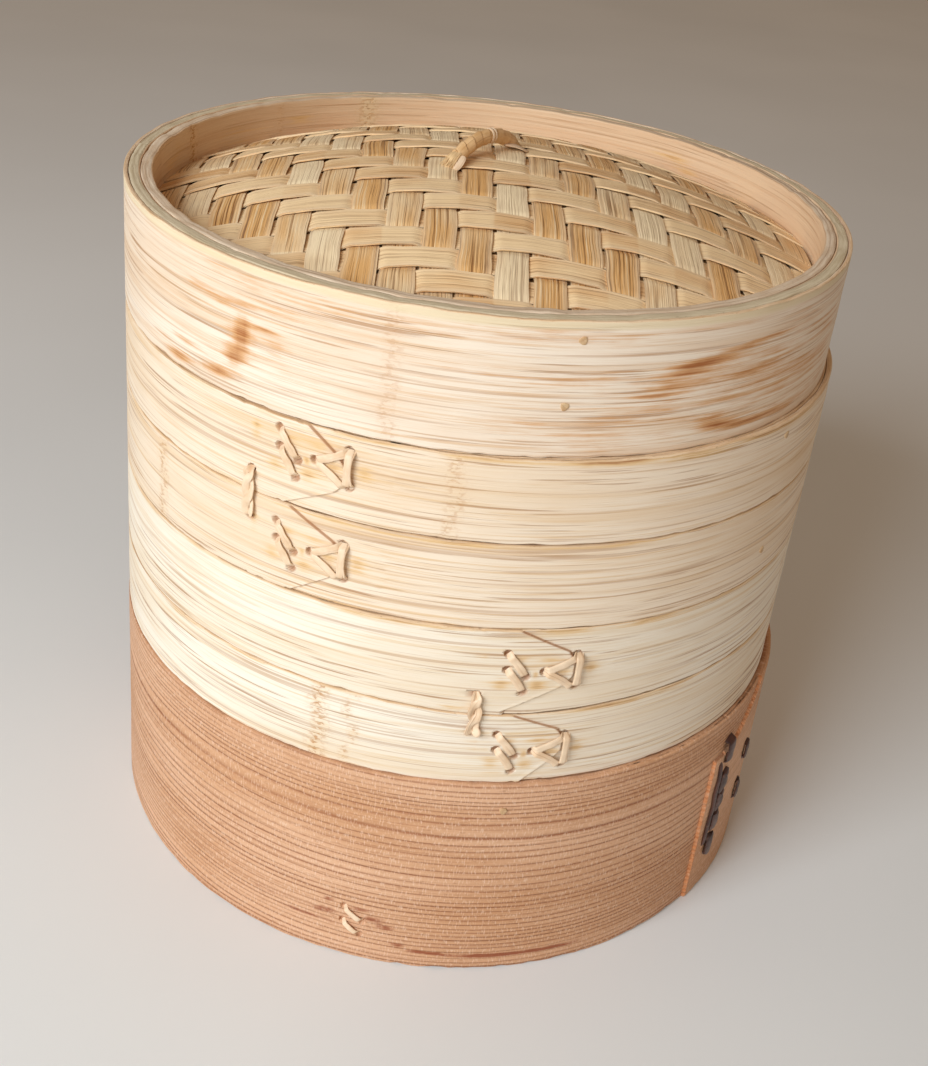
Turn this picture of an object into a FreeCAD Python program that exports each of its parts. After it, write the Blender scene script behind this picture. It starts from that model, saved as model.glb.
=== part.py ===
import FreeCAD, Part
import math
import os

# Stacked bamboo steamer: a bentwood base basket, two bamboo tiers and a
# domed, woven lid. Millimetres, +Z up. The origin is on the table plane, at
# the centre of the base hoop's lower rim, and the front of the stack is -Y.

# Levels of the stack.
BASE_TOP = 85.5
LOWER_TIER_SEAM = 115.5
LOWER_TIER_TOP = 146.8
UPPER_TIER_SEAM = 177.6
UPPER_TIER_TOP = 206.7
LID_TOP = 250.1

# How far each part sits off centre on the one beneath it, along X.
TIER_SHIFT = -1.5
LID_SHIFT = -3.0

# Gap between two plies of one hoop, and the play round a lace or a peg.
PLY_GAP = 0.1
HOLE_PLAY = 0.1

# Base basket: one bent board with a scarfed lap, and the hoops inside it.
BASE_RADIUS = 129.8
BASE_BOARD = 4.2
LAP_AZIMUTH = -36.0
LAP_STEP = 1.2
LAP_SLIT = 0.35
LAP_RAMP_START = -110.0
LAP_RAMP_SAG = 0.4
LAP_INNER_END = 6.0
LAP_MOUTH_ANGLE = 3.0
FOOT_HOOP_TOP = 27.0
RIM_HOOP_BOTTOM = 58.0
LINING_THICKNESS = 2.2

# Tier plies, from the outside in.
TIER_RADIUS = 128.2
BAND_THICKNESS = 2.2
CORE_THICKNESS = 4.0
INNER_THICKNESS = 2.6
LOCATOR_THICKNESS = 2.1
LOCATOR_STANDOUT = 7.5
LOCATOR_DEPTH = 22.0
RECESS_DEPTH = 8.6

# Slatted floors.
SLAT_WIDTH = 14.5
SLAT_PITCH = 20.0
SLAT_THICKNESS = 2.4
RIB_WIDTH = 9.0
RIB_THICKNESS = 4.0
RIB_OFFSET = 46.0
FLOOR_RING_BOTTOM = 9.6

# Lid hoops and woven dome.
LID_RADIUS = 126.8
LID_SKIN = 1.6
LID_CORE = 3.9
LID_INNER = 4.0
DOME_EDGE_RADIUS = 118.0
DOME_EDGE_LEVEL = 235.5
DOME_CREST = 259.5
WEAVE_THICKNESS = 1.8
LATTICE_THICKNESS = 1.4
DOME_RIB_THICKNESS = 2.4
DOME_RIB_WIDTH = 8.0
DOME_RIB_OFFSET = 46.0

# Gap under the dome's clamping hoop, above the locating hoop of a tier.
CLAMP_CLEARANCE = 1.8

# Lid handle: a cane core bent to an arch, with cane wound round it.
HANDLE_X = -6.8
HANDLE_Y = 3.2
HANDLE_BEARING = 58.0
HANDLE_HALF_SPAN = 20.0
HANDLE_RISE = 6.5
HANDLE_SINK = 0.6
HANDLE_CORE_RADIUS = 1.7
HANDLE_WRAP_RADIUS = 2.8
HANDLE_TAIL_ANGLE = 20.0
HANDLE_BARE_ANGLE = 10.0
PASSAGE_PLAY_ANGLE = 2.0
KEEPER_SIZE = (66.0, 9.0, 2.6)
KEEPER_DROP = 3.0

# Where pegs, laces and ties sit: azimuths in degrees, levels in millimetres.
BASE_LACES = [[(-101.4, 23.4), (-98.2, 18.0)], [(-101.5, 16.9), (-98.6, 11.8)]]
BASE_PEGS = [(-78.7, 74.6), (11.3, 74.6), (101.3, 74.6), (191.3, 74.6)]
LOWER_TIER_LAP = -74.8
LOWER_TIER_LACES = (98.6, 130.8)
LOWER_TIER_TIE = -84.2
LOWER_TIER_PEGS = [(60.0, 100.0), (60.0, 131.0), (178.0, 100.0), (178.0, 131.0)]
UPPER_TIER_LAP = -110.2
UPPER_TIER_LACES = (163.2, 195.5)
UPPER_TIER_TIE = -120.4
UPPER_TIER_PEGS = [(-35.4, 156.9), (-36.2, 201.3), (84.0, 157.0), (84.0, 201.0)]
LID_PEGS = [(-75.6, 244.2), (-76.8, 223.6), (44.0, 244.2), (44.0, 223.6), (164.0, 244.2), (164.0, 223.6)]
LID_LACE = (104.0, 228.0)

# Laces, ties and pegs.
LACE_WIDTH = 2.3
LACE_THICKNESS = 0.6
LACE_LIFT = 0.3
LACE_LEG_RADIUS = 0.9
PEG_RADIUS = 1.25
TIE_HALF_HEIGHT = 9.0

# Bark stitches on the base lap.
STITCH_WIDTH = 4.6
STITCH_THICKNESS = 0.6
STITCH_DEPTH = 4.0
STITCH_SHOULDER = 0.2
STITCH_AZIMUTH = -32.6
SECOND_STITCH_AZIMUTH = -22.0
STITCHES = [(68.0, 11.0), (53.5, 9.0), (44.0, 8.0), (34.0, 9.0), (22.0, 11.0)]

# How far a cutting tool runs past the face that it cuts.
OVERCUT = 1.0

Z_AXIS = FreeCAD.Vector(0, 0, 1)


def polar(centre_x, radius, azimuth, level):
    """Point on a vertical cylinder; azimuth in degrees from +X towards +Y."""
    angle = math.radians(azimuth)
    x = centre_x + radius * math.cos(angle)
    return FreeCAD.Vector(x, radius * math.sin(angle), level)


def outward(azimuth):
    """Unit vector pointing away from the stack's axis."""
    return polar(0, 1, azimuth, 0)


def disc(centre_x, radius, bottom, top):
    """Upright solid cylinder between two levels."""
    return Part.makeCylinder(radius, top - bottom, FreeCAD.Vector(centre_x, 0, bottom))


def hoop(centre_x, outer, inner, bottom, top):
    """Upright ring between two radii and two levels."""
    return disc(centre_x, outer, bottom, top).cut(disc(centre_x, inner, bottom - OVERCUT, top + OVERCUT))


def leg(centre_x, azimuth, level, outer, inner, radius):
    """Round pin that runs straight in from one radius to a smaller one."""
    start = polar(centre_x, outer, azimuth, level)
    return Part.makeCylinder(radius, outer - inner, start, outward(azimuth) * -1)


def strap(centre_x, radius, start, end, width):
    """Flat strip laid on a cylinder between two (azimuth, level) points."""
    first = polar(centre_x, radius + LACE_LIFT, *start)
    last = polar(centre_x, radius + LACE_LIFT, *end)
    normal = outward((start[0] + end[0]) / 2)
    along = (last - first).normalize()
    side = normal.cross(along) * (width / 2)
    first = first - along * (width / 2)
    last = last + along * (width / 2)
    corners = [first - side, last - side, last + side, first + side]
    outline = Part.makePolygon(corners + corners[:1])
    return Part.Face(outline).extrude(normal * LACE_THICKNESS)


def fuse(shapes):
    """One solid out of shapes that overlap."""
    return shapes[0].multiFuse(shapes[1:]).removeSplitter() if len(shapes) > 1 else shapes[0]


def save(name, solids):
    """Write one node, made of one or several solids."""
    shape = Part.makeCompound(solids) if len(solids) > 1 else solids[0]
    for solid in shape.Solids:
        if not solid.isValid() or solid.Volume <= 0:
            raise ValueError(name + " has a bad solid")
    shape.exportStep(os.path.join("parts", name + ".step"))


def drill(shape, cutters):
    """Cut every hole of a list from one piece."""
    return shape.cut(cutters) if cutters else shape


# Lace pattern beside a band's lap, as (azimuth, level) steps from its left
# triangle hole: two slanting strokes, then a triangle over the ply's tip.
STROKES = [((-5.6, 7.1), (-2.6, -2.0)), ((-5.5, 0.9), (-2.8, -8.0))]
TRIANGLE = [(0.0, 0.0), (4.9, 5.6), (5.2, -6.7)]


def lace_set(centre_x, radius, depth, azimuth, level):
    """Lace solids at one lap and the holes that they need."""
    def at(step):
        return azimuth + step[0], level + step[1]

    solids = []
    holes = []
    for stroke in STROKES:
        solids.append(stitched(centre_x, radius, depth, [at(p) for p in stroke], False, holes))
    solids.append(stitched(centre_x, radius, depth, [at(p) for p in TRIANGLE], True, holes))
    return solids, holes


def stitched(centre_x, radius, depth, points, closed, holes):
    """Strip that runs over the listed holes, with a leg down each one."""
    pieces = []
    for place, point in enumerate(points):
        pieces.append(leg(centre_x, *point, radius + LACE_THICKNESS, radius - depth, LACE_LEG_RADIUS))
        holes.append(leg(centre_x, *point, radius + OVERCUT, radius - depth, LACE_LEG_RADIUS + HOLE_PLAY))
        if place or closed:
            pieces.append(strap(centre_x, radius, points[place - 1], point, LACE_WIDTH))
    return fuse(pieces)


def pegs(centre_x, radius, depth, places, holes):
    """Bamboo pegs at (azimuth, level) places, with the holes they sit in."""
    solids = []
    for azimuth, level in places:
        solids.append(leg(centre_x, azimuth, level, radius + PLY_GAP, radius - depth, PEG_RADIUS))
        hole = leg(centre_x, azimuth, level, radius + OVERCUT, radius - depth, PEG_RADIUS + HOLE_PLAY)
        holes.append(hole)
    return solids


def floor_slats(centre_x, radius, bottom):
    """Parallel slats across a round floor, trimmed to its edge."""
    rim = disc(centre_x, radius, bottom, bottom + SLAT_THICKNESS)
    count = int(radius / SLAT_PITCH)
    slats = []
    for step in range(-count, count + 1):
        corner = FreeCAD.Vector(centre_x - radius, step * SLAT_PITCH - SLAT_WIDTH / 2, bottom)
        board = Part.makeBox(2 * radius, SLAT_WIDTH, SLAT_THICKNESS, corner)
        slats.append(board.common(rim))
    return slats


def floor_ribs(centre_x, radius, top):
    """Two battens under a floor, across its slats."""
    rim = disc(centre_x, radius, top - RIB_THICKNESS, top)
    ribs = []
    for side in (-1, 1):
        x = centre_x + side * RIB_OFFSET - RIB_WIDTH / 2
        corner = FreeCAD.Vector(x, -radius, top - RIB_THICKNESS)
        ribs.append(Part.makeBox(RIB_WIDTH, 2 * radius, RIB_THICKNESS, corner).common(rim))
    return ribs


def make_tier(name, bottom, seam, top, lap_azimuth, lace_levels, tie_azimuth, peg_places):
    """One bamboo tier: two outer bands on a core hoop, and a slatted floor."""
    centre = TIER_SHIFT
    band_inner = TIER_RADIUS - BAND_THICKNESS
    core_outer = band_inner - PLY_GAP
    core_inner = core_outer - CORE_THICKNESS
    inner_outer = core_inner - PLY_GAP
    inner_inner = inner_outer - INNER_THICKNESS
    locator_outer = inner_inner - PLY_GAP
    locator_inner = locator_outer - LOCATOR_THICKNESS
    lace_depth = TIER_RADIUS - core_inner

    holes = []
    laces = []
    for level in lace_levels:
        solids, lace_holes = lace_set(centre, TIER_RADIUS, lace_depth, lap_azimuth, level)
        laces.append(solids)
        holes += lace_holes
    ties = []
    for azimuth in (tie_azimuth, tie_azimuth + 180.0):
        ends = [(azimuth, seam + TIE_HALF_HEIGHT), (azimuth, seam - TIE_HALF_HEIGHT)]
        ties.append(stitched(centre, TIER_RADIUS, lace_depth, ends, False, holes))
    peg_solids = pegs(centre, TIER_RADIUS, lace_depth, peg_places, holes)

    save(name + "_top_band", [drill(hoop(centre, TIER_RADIUS, band_inner, seam, top), holes)])
    save(name + "_bottom_band", [drill(hoop(centre, TIER_RADIUS, band_inner, bottom, seam), holes)])
    save(name + "_core_hoop", [drill(hoop(centre, core_outer, core_inner, bottom, top), holes)])
    recess = bottom + RECESS_DEPTH
    save(name + "_inner_hoop", [hoop(centre, inner_outer, inner_inner, recess, top)])

    ring_bottom = bottom + FLOOR_RING_BOTTOM
    slat_bottom = ring_bottom + RIB_THICKNESS
    slat_top = slat_bottom + SLAT_THICKNESS
    save(name + "_floor_ring", [hoop(centre, locator_outer, locator_inner, ring_bottom, slat_bottom)])
    save(name + "_floor_slats", floor_slats(centre, locator_outer, slat_bottom))
    save(name + "_floor_ribs", floor_ribs(centre, locator_inner - PLY_GAP, slat_bottom))
    locator = hoop(centre, locator_outer, locator_inner, slat_top, top + LOCATOR_STANDOUT)
    save(name + "_locating_hoop", [locator])

    save(name + "_bottom_lacing", laces[0])
    save(name + "_top_lacing", laces[1])
    save(name + "_seam_ties", ties)
    save(name + "_pegs", peg_solids)


def base_board():
    """Bent board of the base, its tapered ends lapped with a thin slit."""
    inner = BASE_RADIUS - BASE_BOARD
    middle = (LAP_AZIMUTH + LAP_INNER_END) / 2
    under = BASE_RADIUS - LAP_STEP
    halfway = (under + inner) / 2

    def at(azimuth, radius):
        return polar(0, radius, azimuth, 0)

    def arc(first, through, last):
        return Part.Arc(first, through, last).toShape()

    tip_top = at(LAP_AZIMUTH, BASE_RADIUS)
    ramp = at(LAP_RAMP_START, BASE_RADIUS)
    ramp_middle = at((LAP_RAMP_START + LAP_AZIMUTH) / 2, BASE_RADIUS - LAP_RAMP_SAG)
    under_start = at(LAP_AZIMUTH, under)
    under_middle = at(middle, halfway)
    under_end = at(LAP_INNER_END, inner + LAP_SLIT / 2)
    inner_tip = at(LAP_INNER_END, inner)
    slit_mouth = at(LAP_INNER_END + LAP_MOUTH_ANGLE, inner)
    over_half = (LAP_AZIMUTH + 360 + LAP_RAMP_START) / 2
    over_middle = at(middle, halfway + LAP_SLIT)
    tip_bottom = at(LAP_AZIMUTH, under + LAP_SLIT)
    edges = [
        arc(tip_top, at(over_half, BASE_RADIUS), ramp),
        arc(ramp, ramp_middle, under_start),
        arc(under_start, under_middle, under_end),
        Part.makeLine(under_end, inner_tip),
        arc(inner_tip, at(LAP_INNER_END + 180, inner), slit_mouth),
        arc(slit_mouth, over_middle, tip_bottom),
        Part.makeLine(tip_bottom, tip_top),
    ]
    return Part.Face(Part.Wire(edges)).extrude(Z_AXIS * BASE_TOP)


def bark_stitch(azimuth, level, height, holes):
    """Strip of bark on the lap, with its two ends let into the board."""
    half_width = math.degrees(STITCH_WIDTH / 2 / BASE_RADIUS)
    inside = BASE_RADIUS + PLY_GAP
    outside = inside + STITCH_THICKNESS
    corners = [(inside, -half_width), (outside, -half_width), (outside, half_width), (inside, half_width)]
    points = [polar(0, radius, azimuth + turn, level - height / 2) for radius, turn in corners]
    pad = Part.Face(Part.makePolygon(points + points[:1])).extrude(Z_AXIS * height)
    pieces = [pad]
    depth = STITCH_DEPTH - PLY_GAP
    for side in (-1, 1):
        end = level + side * (height / 2 - STITCH_THICKNESS / 2)
        pieces.append(end_tab(azimuth, end, outside, BASE_RADIUS - depth, 0))
        holes.append(end_tab(azimuth, end, outside + OVERCUT, BASE_RADIUS - depth, HOLE_PLAY))
    return fuse(pieces)


def end_tab(azimuth, level, outer, inner, play):
    """Radial tab of a bark stitch, or its slot when there is play."""
    half_height = STITCH_THICKNESS / 2 + play
    half_width = STITCH_WIDTH / 2 - STITCH_SHOULDER + play
    side = Z_AXIS.cross(outward(azimuth)) * half_width
    lift = Z_AXIS * half_height
    middle = polar(0, inner, azimuth, level)
    corners = [middle - side - lift, middle + side - lift, middle + side + lift, middle - side + lift]
    outline = Part.makePolygon(corners + corners[:1])
    return Part.Face(outline).extrude(outward(azimuth) * (outer - inner))


def make_base():
    """Base basket, which carries the stack and stands in or on a pot."""
    inner = BASE_RADIUS - BASE_BOARD
    hoop_outer = inner - PLY_GAP
    locator_outer = (TIER_RADIUS - BAND_THICKNESS - CORE_THICKNESS - INNER_THICKNESS) - 3 * PLY_GAP
    hoop_inner = locator_outer + PLY_GAP
    locator_inner = locator_outer - LOCATOR_THICKNESS
    lace_depth = BASE_RADIUS - hoop_inner

    holes = []
    laces = [stitched(0, BASE_RADIUS, lace_depth, ends, False, holes) for ends in BASE_LACES]
    peg_solids = pegs(0, BASE_RADIUS, lace_depth, BASE_PEGS, holes)
    slots = []
    stitches = [bark_stitch(STITCH_AZIMUTH, *place, slots) for place in STITCHES]
    stitches += [bark_stitch(SECOND_STITCH_AZIMUTH, *place, slots) for place in STITCHES[1::2]]

    save("base_board", [drill(base_board(), holes + slots)])
    save("base_foot_hoop", [drill(hoop(0, hoop_outer, hoop_inner, 0, FOOT_HOOP_TOP), holes)])
    slat_top = FOOT_HOOP_TOP + SLAT_THICKNESS
    save("base_floor_slats", floor_slats(0, hoop_outer, FOOT_HOOP_TOP))
    save("base_floor_ribs", floor_ribs(0, hoop_inner - PLY_GAP, FOOT_HOOP_TOP))
    lining_inner = hoop_outer - LINING_THICKNESS
    save("base_lining_hoop", [hoop(0, hoop_outer, lining_inner, slat_top, RIM_HOOP_BOTTOM)])
    rim = hoop(0, hoop_outer, hoop_inner, RIM_HOOP_BOTTOM, BASE_TOP)
    save("base_rim_hoop", [drill(rim, holes)])
    locator_bottom = BASE_TOP - LOCATOR_DEPTH
    locator = hoop(0, locator_outer, locator_inner, locator_bottom, BASE_TOP + LOCATOR_STANDOUT)
    save("base_locating_hoop", [locator])
    save("base_lacing", laces)
    save("base_pegs", peg_solids)
    save("base_bark_stitches", stitches)


def dome_ball(depth):
    """Ball whose cap is the dome's outside, or a surface below it."""
    rise = DOME_CREST - DOME_EDGE_LEVEL
    radius = (DOME_EDGE_RADIUS ** 2 + rise ** 2) / (2 * rise)
    return Part.makeSphere(radius - depth, FreeCAD.Vector(LID_SHIFT, 0, DOME_CREST - radius))


def dome_layer(edge_radius, outer_depth, inner_depth):
    """Cap between two depths under the dome's outside."""
    limit = disc(LID_SHIFT, edge_radius, UPPER_TIER_TOP, DOME_CREST + OVERCUT)
    return dome_ball(outer_depth).common(limit).cut(dome_ball(inner_depth))


def dome_ribs(turned, edge_radius, outer_depth):
    """Two bent battens under the dome, along X, or along Y when turned."""
    layer = dome_layer(edge_radius, outer_depth, outer_depth + DOME_RIB_THICKNESS)
    ribs = []
    for side in (-1, 1):
        corner = FreeCAD.Vector(-edge_radius, side * DOME_RIB_OFFSET - DOME_RIB_WIDTH / 2, UPPER_TIER_TOP)
        slab = Part.makeBox(2 * edge_radius, DOME_RIB_WIDTH, LID_TOP, corner)
        if turned:
            slab.rotate(FreeCAD.Vector(0, 0, 0), Z_AXIS, 90)
        slab.translate(FreeCAD.Vector(LID_SHIFT, 0, 0))
        ribs.append(layer.common(slab))
    return ribs


def handle_bend():
    """Radius of the handle's centre line."""
    return (HANDLE_HALF_SPAN ** 2 + HANDLE_RISE ** 2) / (2 * HANDLE_RISE)


def handle_arch(radius, half_angle):
    """Part of a torus: the handle's arch, standing over the dome's crest."""
    bend = handle_bend()
    centre = FreeCAD.Vector(0, 0, 0)
    ring = Part.makeTorus(bend, radius, centre, Z_AXIS, -180, 180, 2 * half_angle)
    ring.rotate(FreeCAD.Vector(0, 0, 0), Z_AXIS, 90 - half_angle)
    ring.rotate(FreeCAD.Vector(0, 0, 0), FreeCAD.Vector(1, 0, 0), 90)
    ring.rotate(FreeCAD.Vector(0, 0, 0), Z_AXIS, HANDLE_BEARING)
    level = DOME_CREST - HANDLE_SINK + HANDLE_RISE - bend
    ring.translate(FreeCAD.Vector(HANDLE_X, HANDLE_Y, level))
    return ring


def rib_grooves(edge_radius, rib_top, cross_top, bottom):
    """Cutters that seat the ends of the dome's ribs in the clamping hoop."""
    cross_ribs = dome_ribs(True, edge_radius, cross_top)
    cutters = dome_ribs(False, edge_radius, rib_top) + cross_ribs
    layer = dome_layer(edge_radius, rib_top - OVERCUT, cross_top)
    for rib in cross_ribs:
        box = rib.BoundBox
        corner = FreeCAD.Vector(box.XMin, box.YMin - OVERCUT, bottom)
        slab = Part.makeBox(box.XLength, box.YLength + 2 * OVERCUT, LID_TOP, corner)
        cutters.append(layer.common(slab))
    return cutters


def make_lid():
    """Lid: hoops round a woven dome, with a bound handle on its crown."""
    centre = LID_SHIFT
    skin_inner = LID_RADIUS - LID_SKIN
    core_outer = skin_inner - PLY_GAP
    core_inner = core_outer - LID_CORE
    inner_outer = core_inner - PLY_GAP
    inner_inner = inner_outer - LID_INNER
    lower_bottom = UPPER_TIER_TOP + LOCATOR_STANDOUT + CLAMP_CLEARANCE

    lattice_top = WEAVE_THICKNESS + PLY_GAP
    rib_top = lattice_top + LATTICE_THICKNESS + PLY_GAP
    cross_top = rib_top + DOME_RIB_THICKNESS + PLY_GAP

    holes = []
    peg_depth = LID_RADIUS - core_inner
    peg_solids = pegs(centre, LID_RADIUS, peg_depth, LID_PEGS, holes)
    laces, lace_holes = lace_set(centre, LID_RADIUS, peg_depth, *LID_LACE)
    holes += lace_holes

    save("lid_outer_hoop", [drill(hoop(centre, LID_RADIUS, skin_inner, UPPER_TIER_TOP, LID_TOP), holes)])
    save("lid_core_hoop", [drill(hoop(centre, core_outer, core_inner, UPPER_TIER_TOP, LID_TOP), holes)])
    upper = hoop(centre, inner_outer, inner_inner, UPPER_TIER_TOP, LID_TOP)
    save("lid_inner_hoop", [upper.cut(dome_ball(-PLY_GAP))])

    ribs = dome_ribs(False, inner_outer, rib_top)
    cross_ribs = dome_ribs(True, inner_outer, cross_top)
    lower = hoop(centre, inner_outer, inner_inner, lower_bottom, LID_TOP)
    lower = lower.common(dome_ball(rib_top))
    save("lid_clamp_hoop", [lower.cut(rib_grooves(inner_outer + OVERCUT, rib_top, cross_top, lower_bottom))])
    save("lid_dome_ribs", ribs)
    save("lid_dome_cross_ribs", cross_ribs)

    span_angle = math.degrees(math.asin(HANDLE_HALF_SPAN / handle_bend()))
    core_angle = span_angle + HANDLE_TAIL_ANGLE
    wrap_angle = span_angle - HANDLE_BARE_ANGLE
    passage = handle_arch(HANDLE_CORE_RADIUS + HOLE_PLAY, core_angle + PASSAGE_PLAY_ANGLE)
    save("lid_woven_dome", [dome_layer(inner_outer, 0, WEAVE_THICKNESS).cut(passage)])
    lattice = dome_layer(inner_outer, lattice_top, lattice_top + LATTICE_THICKNESS)
    save("lid_dome_lattice", [lattice.cut(passage)])
    save("lid_handle_core", [handle_arch(HANDLE_CORE_RADIUS, core_angle)])
    bore = handle_arch(HANDLE_CORE_RADIUS + PLY_GAP, wrap_angle + PASSAGE_PLAY_ANGLE)
    save("lid_handle_wrap", [handle_arch(HANDLE_WRAP_RADIUS, wrap_angle).cut(bore)])
    length, width, thickness = KEEPER_SIZE
    keeper = Part.makeBox(length, width, thickness, FreeCAD.Vector(-length / 2, -width / 2, 0))
    keeper.rotate(FreeCAD.Vector(0, 0, 0), Z_AXIS, HANDLE_BEARING)
    keeper_bottom = DOME_CREST - rib_top - KEEPER_DROP - thickness
    keeper.translate(FreeCAD.Vector(HANDLE_X, HANDLE_Y, keeper_bottom))
    save("lid_handle_keeper", [keeper.cut(passage)])
    save("lid_lacing", laces)
    save("lid_pegs", peg_solids)


def main():
    os.makedirs("parts", exist_ok=True)
    make_base()
    make_tier(
        "lower_tier", BASE_TOP, LOWER_TIER_SEAM, LOWER_TIER_TOP,
        LOWER_TIER_LAP, LOWER_TIER_LACES, LOWER_TIER_TIE, LOWER_TIER_PEGS,
    )
    make_tier(
        "upper_tier", LOWER_TIER_TOP, UPPER_TIER_SEAM, UPPER_TIER_TOP,
        UPPER_TIER_LAP, UPPER_TIER_LACES, UPPER_TIER_TIE, UPPER_TIER_PEGS,
    )
    make_lid()


main()
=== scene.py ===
import math

import bpy
import numpy as np
from mathutils import Matrix, Vector


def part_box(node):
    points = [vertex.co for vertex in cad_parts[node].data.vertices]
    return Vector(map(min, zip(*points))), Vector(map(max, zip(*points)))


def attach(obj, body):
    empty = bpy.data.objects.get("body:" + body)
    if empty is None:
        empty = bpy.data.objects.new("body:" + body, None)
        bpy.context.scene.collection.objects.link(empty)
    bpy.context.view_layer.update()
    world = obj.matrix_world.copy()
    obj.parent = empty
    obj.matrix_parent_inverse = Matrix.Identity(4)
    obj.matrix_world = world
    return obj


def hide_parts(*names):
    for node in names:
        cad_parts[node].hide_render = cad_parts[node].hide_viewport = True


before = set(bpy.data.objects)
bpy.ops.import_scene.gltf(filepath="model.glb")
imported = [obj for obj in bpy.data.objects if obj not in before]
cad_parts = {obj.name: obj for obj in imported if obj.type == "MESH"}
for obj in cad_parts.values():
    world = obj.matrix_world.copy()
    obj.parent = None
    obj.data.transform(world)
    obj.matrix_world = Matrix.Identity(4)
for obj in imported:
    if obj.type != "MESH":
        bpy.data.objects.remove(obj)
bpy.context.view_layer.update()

# A stacked bamboo steamer. Sizes are in millimetres and azimuths in degrees,
# counted from +X towards +Y; pieces are turned into metres as they are built.
MM = 0.001

# Plies, the same as in the CAD.
BAND_PLY = 2.2
LOCATOR_PLY = 2.1
LID_SKIN = 1.6
BASE_BOARD = 4.2
BASE_LINING = 2.2
LID_INNER_PLY = 4.0
PLY_GAP = 0.1

GRAIN = "grain"


# ---------------------------------------------------------------- helpers

def node_ring(node):
    """Centre X, outer radius, bottom and top of an upright CAD hoop, in mm."""
    low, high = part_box(node)
    centre = (low.x + high.x) / 2 / MM
    return centre, (high.x - low.x) / 2 / MM, low.z / MM, high.z / MM


def smooth(value, low=0.0, high=1.0):
    """Smooth step from 0 at low to 1 at high."""
    t = np.clip((np.asarray(value, float) - low) / (high - low), 0.0, 1.0)
    return t * t * (3 - 2 * t)


def bump_at(distance, width):
    """Bell curve that is 1 at no distance and small beyond the width."""
    return np.exp(-(np.asarray(distance, float) / width) ** 2)


def turn(first, second):
    """Signed difference of two azimuths, between -180 and 180 degrees."""
    return (np.asarray(first, float) - second + 180.0) % 360.0 - 180.0


def ripple(azimuth, seed, low, high, waves=14):
    """Noise round a circle, about -1 to 1, made of whole waves."""
    rng = np.random.RandomState(seed)
    total = np.zeros_like(np.asarray(azimuth, float))
    angle = np.radians(azimuth)
    for count in rng.randint(low, high, waves):
        total = total + math.sqrt(2 / waves) * np.cos(count * angle + rng.uniform(0, 2 * math.pi))
    return total * 0.7


def wobble(along, seed, shortest, longest, waves=9):
    """Noise along a line, about -1 to 1, with wavelengths in a given range."""
    rng = np.random.RandomState(seed)
    total = np.zeros_like(np.asarray(along, float))
    for length in rng.uniform(shortest, longest, waves):
        phase = rng.uniform(0, 2 * math.pi)
        total = total + math.sqrt(2 / waves) * np.sin(2 * math.pi * along / length + phase)
    return total * 0.7


def circle_point(centre, radius, azimuth, level):
    """Points on an upright cylinder, as an array of X, Y, Z."""
    angle = np.radians(azimuth)
    x = centre + radius * np.cos(angle)
    y = radius * np.sin(angle)
    return np.stack(np.broadcast_arrays(x, y, level), axis=-1)


def unit(vectors):
    """Vectors scaled to length one."""
    return vectors / np.linalg.norm(vectors, axis=-1, keepdims=True)


def make_piece(name, verts, faces, body, materials, stands_for=(), uv=None,
               sides=None, values=None, crease=38.0):
    """Mesh object from arrays in mm, riding on a body."""
    mesh = bpy.data.meshes.new(name)
    mesh.from_pydata((np.asarray(verts) * MM).tolist(), [], faces)
    for material in materials:
        mesh.materials.append(material)
    if uv is not None:
        layer = mesh.uv_layers.new(name=GRAIN)
        layer.data.foreach_set("uv", (np.asarray(uv) * MM).ravel())
    if sides is not None:
        mesh.polygons.foreach_set("material_index", np.asarray(sides, np.int32))
    for key, numbers in (values or {}).items():
        attribute = mesh.attributes.new(key, "FLOAT", "POINT")
        attribute.data.foreach_set("value", np.asarray(numbers, np.float32).ravel())
    mesh.polygons.foreach_set("use_smooth", [True] * len(mesh.polygons))
    mesh.set_sharp_from_angle(angle=math.radians(crease))
    mesh.update()
    piece = bpy.data.objects.new(name, mesh)
    bpy.context.scene.collection.objects.link(piece)
    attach(piece, body)
    if stands_for:
        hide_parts(*stands_for)
    return piece


def loft(rings, uv_shift=0.0, closed=False, along=None, around=None):
    """Skin over rings of points: verts, faces and one UV pair a corner.

    rings has shape (steps, points, 3). A loft that isn't closed is capped.
    along and around are grain distances, measured on the rings if not given.
    """
    rings = np.asarray(rings, float)
    steps, count = rings.shape[:2]
    index = np.arange(steps * count).reshape(steps, count)
    here = index if closed else index[:-1]
    there = np.roll(index, -1, axis=0) if closed else index[1:]
    beside = np.roll(here, -1, axis=1)
    beyond = np.roll(there, -1, axis=1)
    faces = np.stack([here, there, beyond, beside], axis=-1).reshape(-1, 4).tolist()

    if along is None:
        middle = rings.mean(axis=1)
        along = np.concatenate([[0], np.cumsum(np.linalg.norm(np.diff(middle, axis=0), axis=1))])
        gaps = np.linalg.norm(rings - np.roll(rings, 1, axis=1), axis=2).mean(axis=0)
        around = np.concatenate([np.cumsum(gaps) - gaps[0], [gaps.sum()]])
    u_here, u_there = np.repeat(along[:-1], count), np.repeat(along[1:], count)
    v_here, v_beside = np.tile(around[:-1], len(along) - 1), np.tile(around[1:], len(along) - 1)
    corners = [(u_here, v_here), (u_there, v_here), (u_there, v_beside), (u_here, v_beside)]
    uv = np.stack([np.stack(pair, axis=-1) for pair in corners], axis=1).reshape(-1, 2)
    if not closed:
        faces += [index[0].tolist(), index[-1][::-1].tolist()]
        uv = np.concatenate([uv, [(end, v) for end in (along[0], along[-1]) for v in around[:-1]]])
    return rings.reshape(-1, 3), faces, uv + uv_shift


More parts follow.
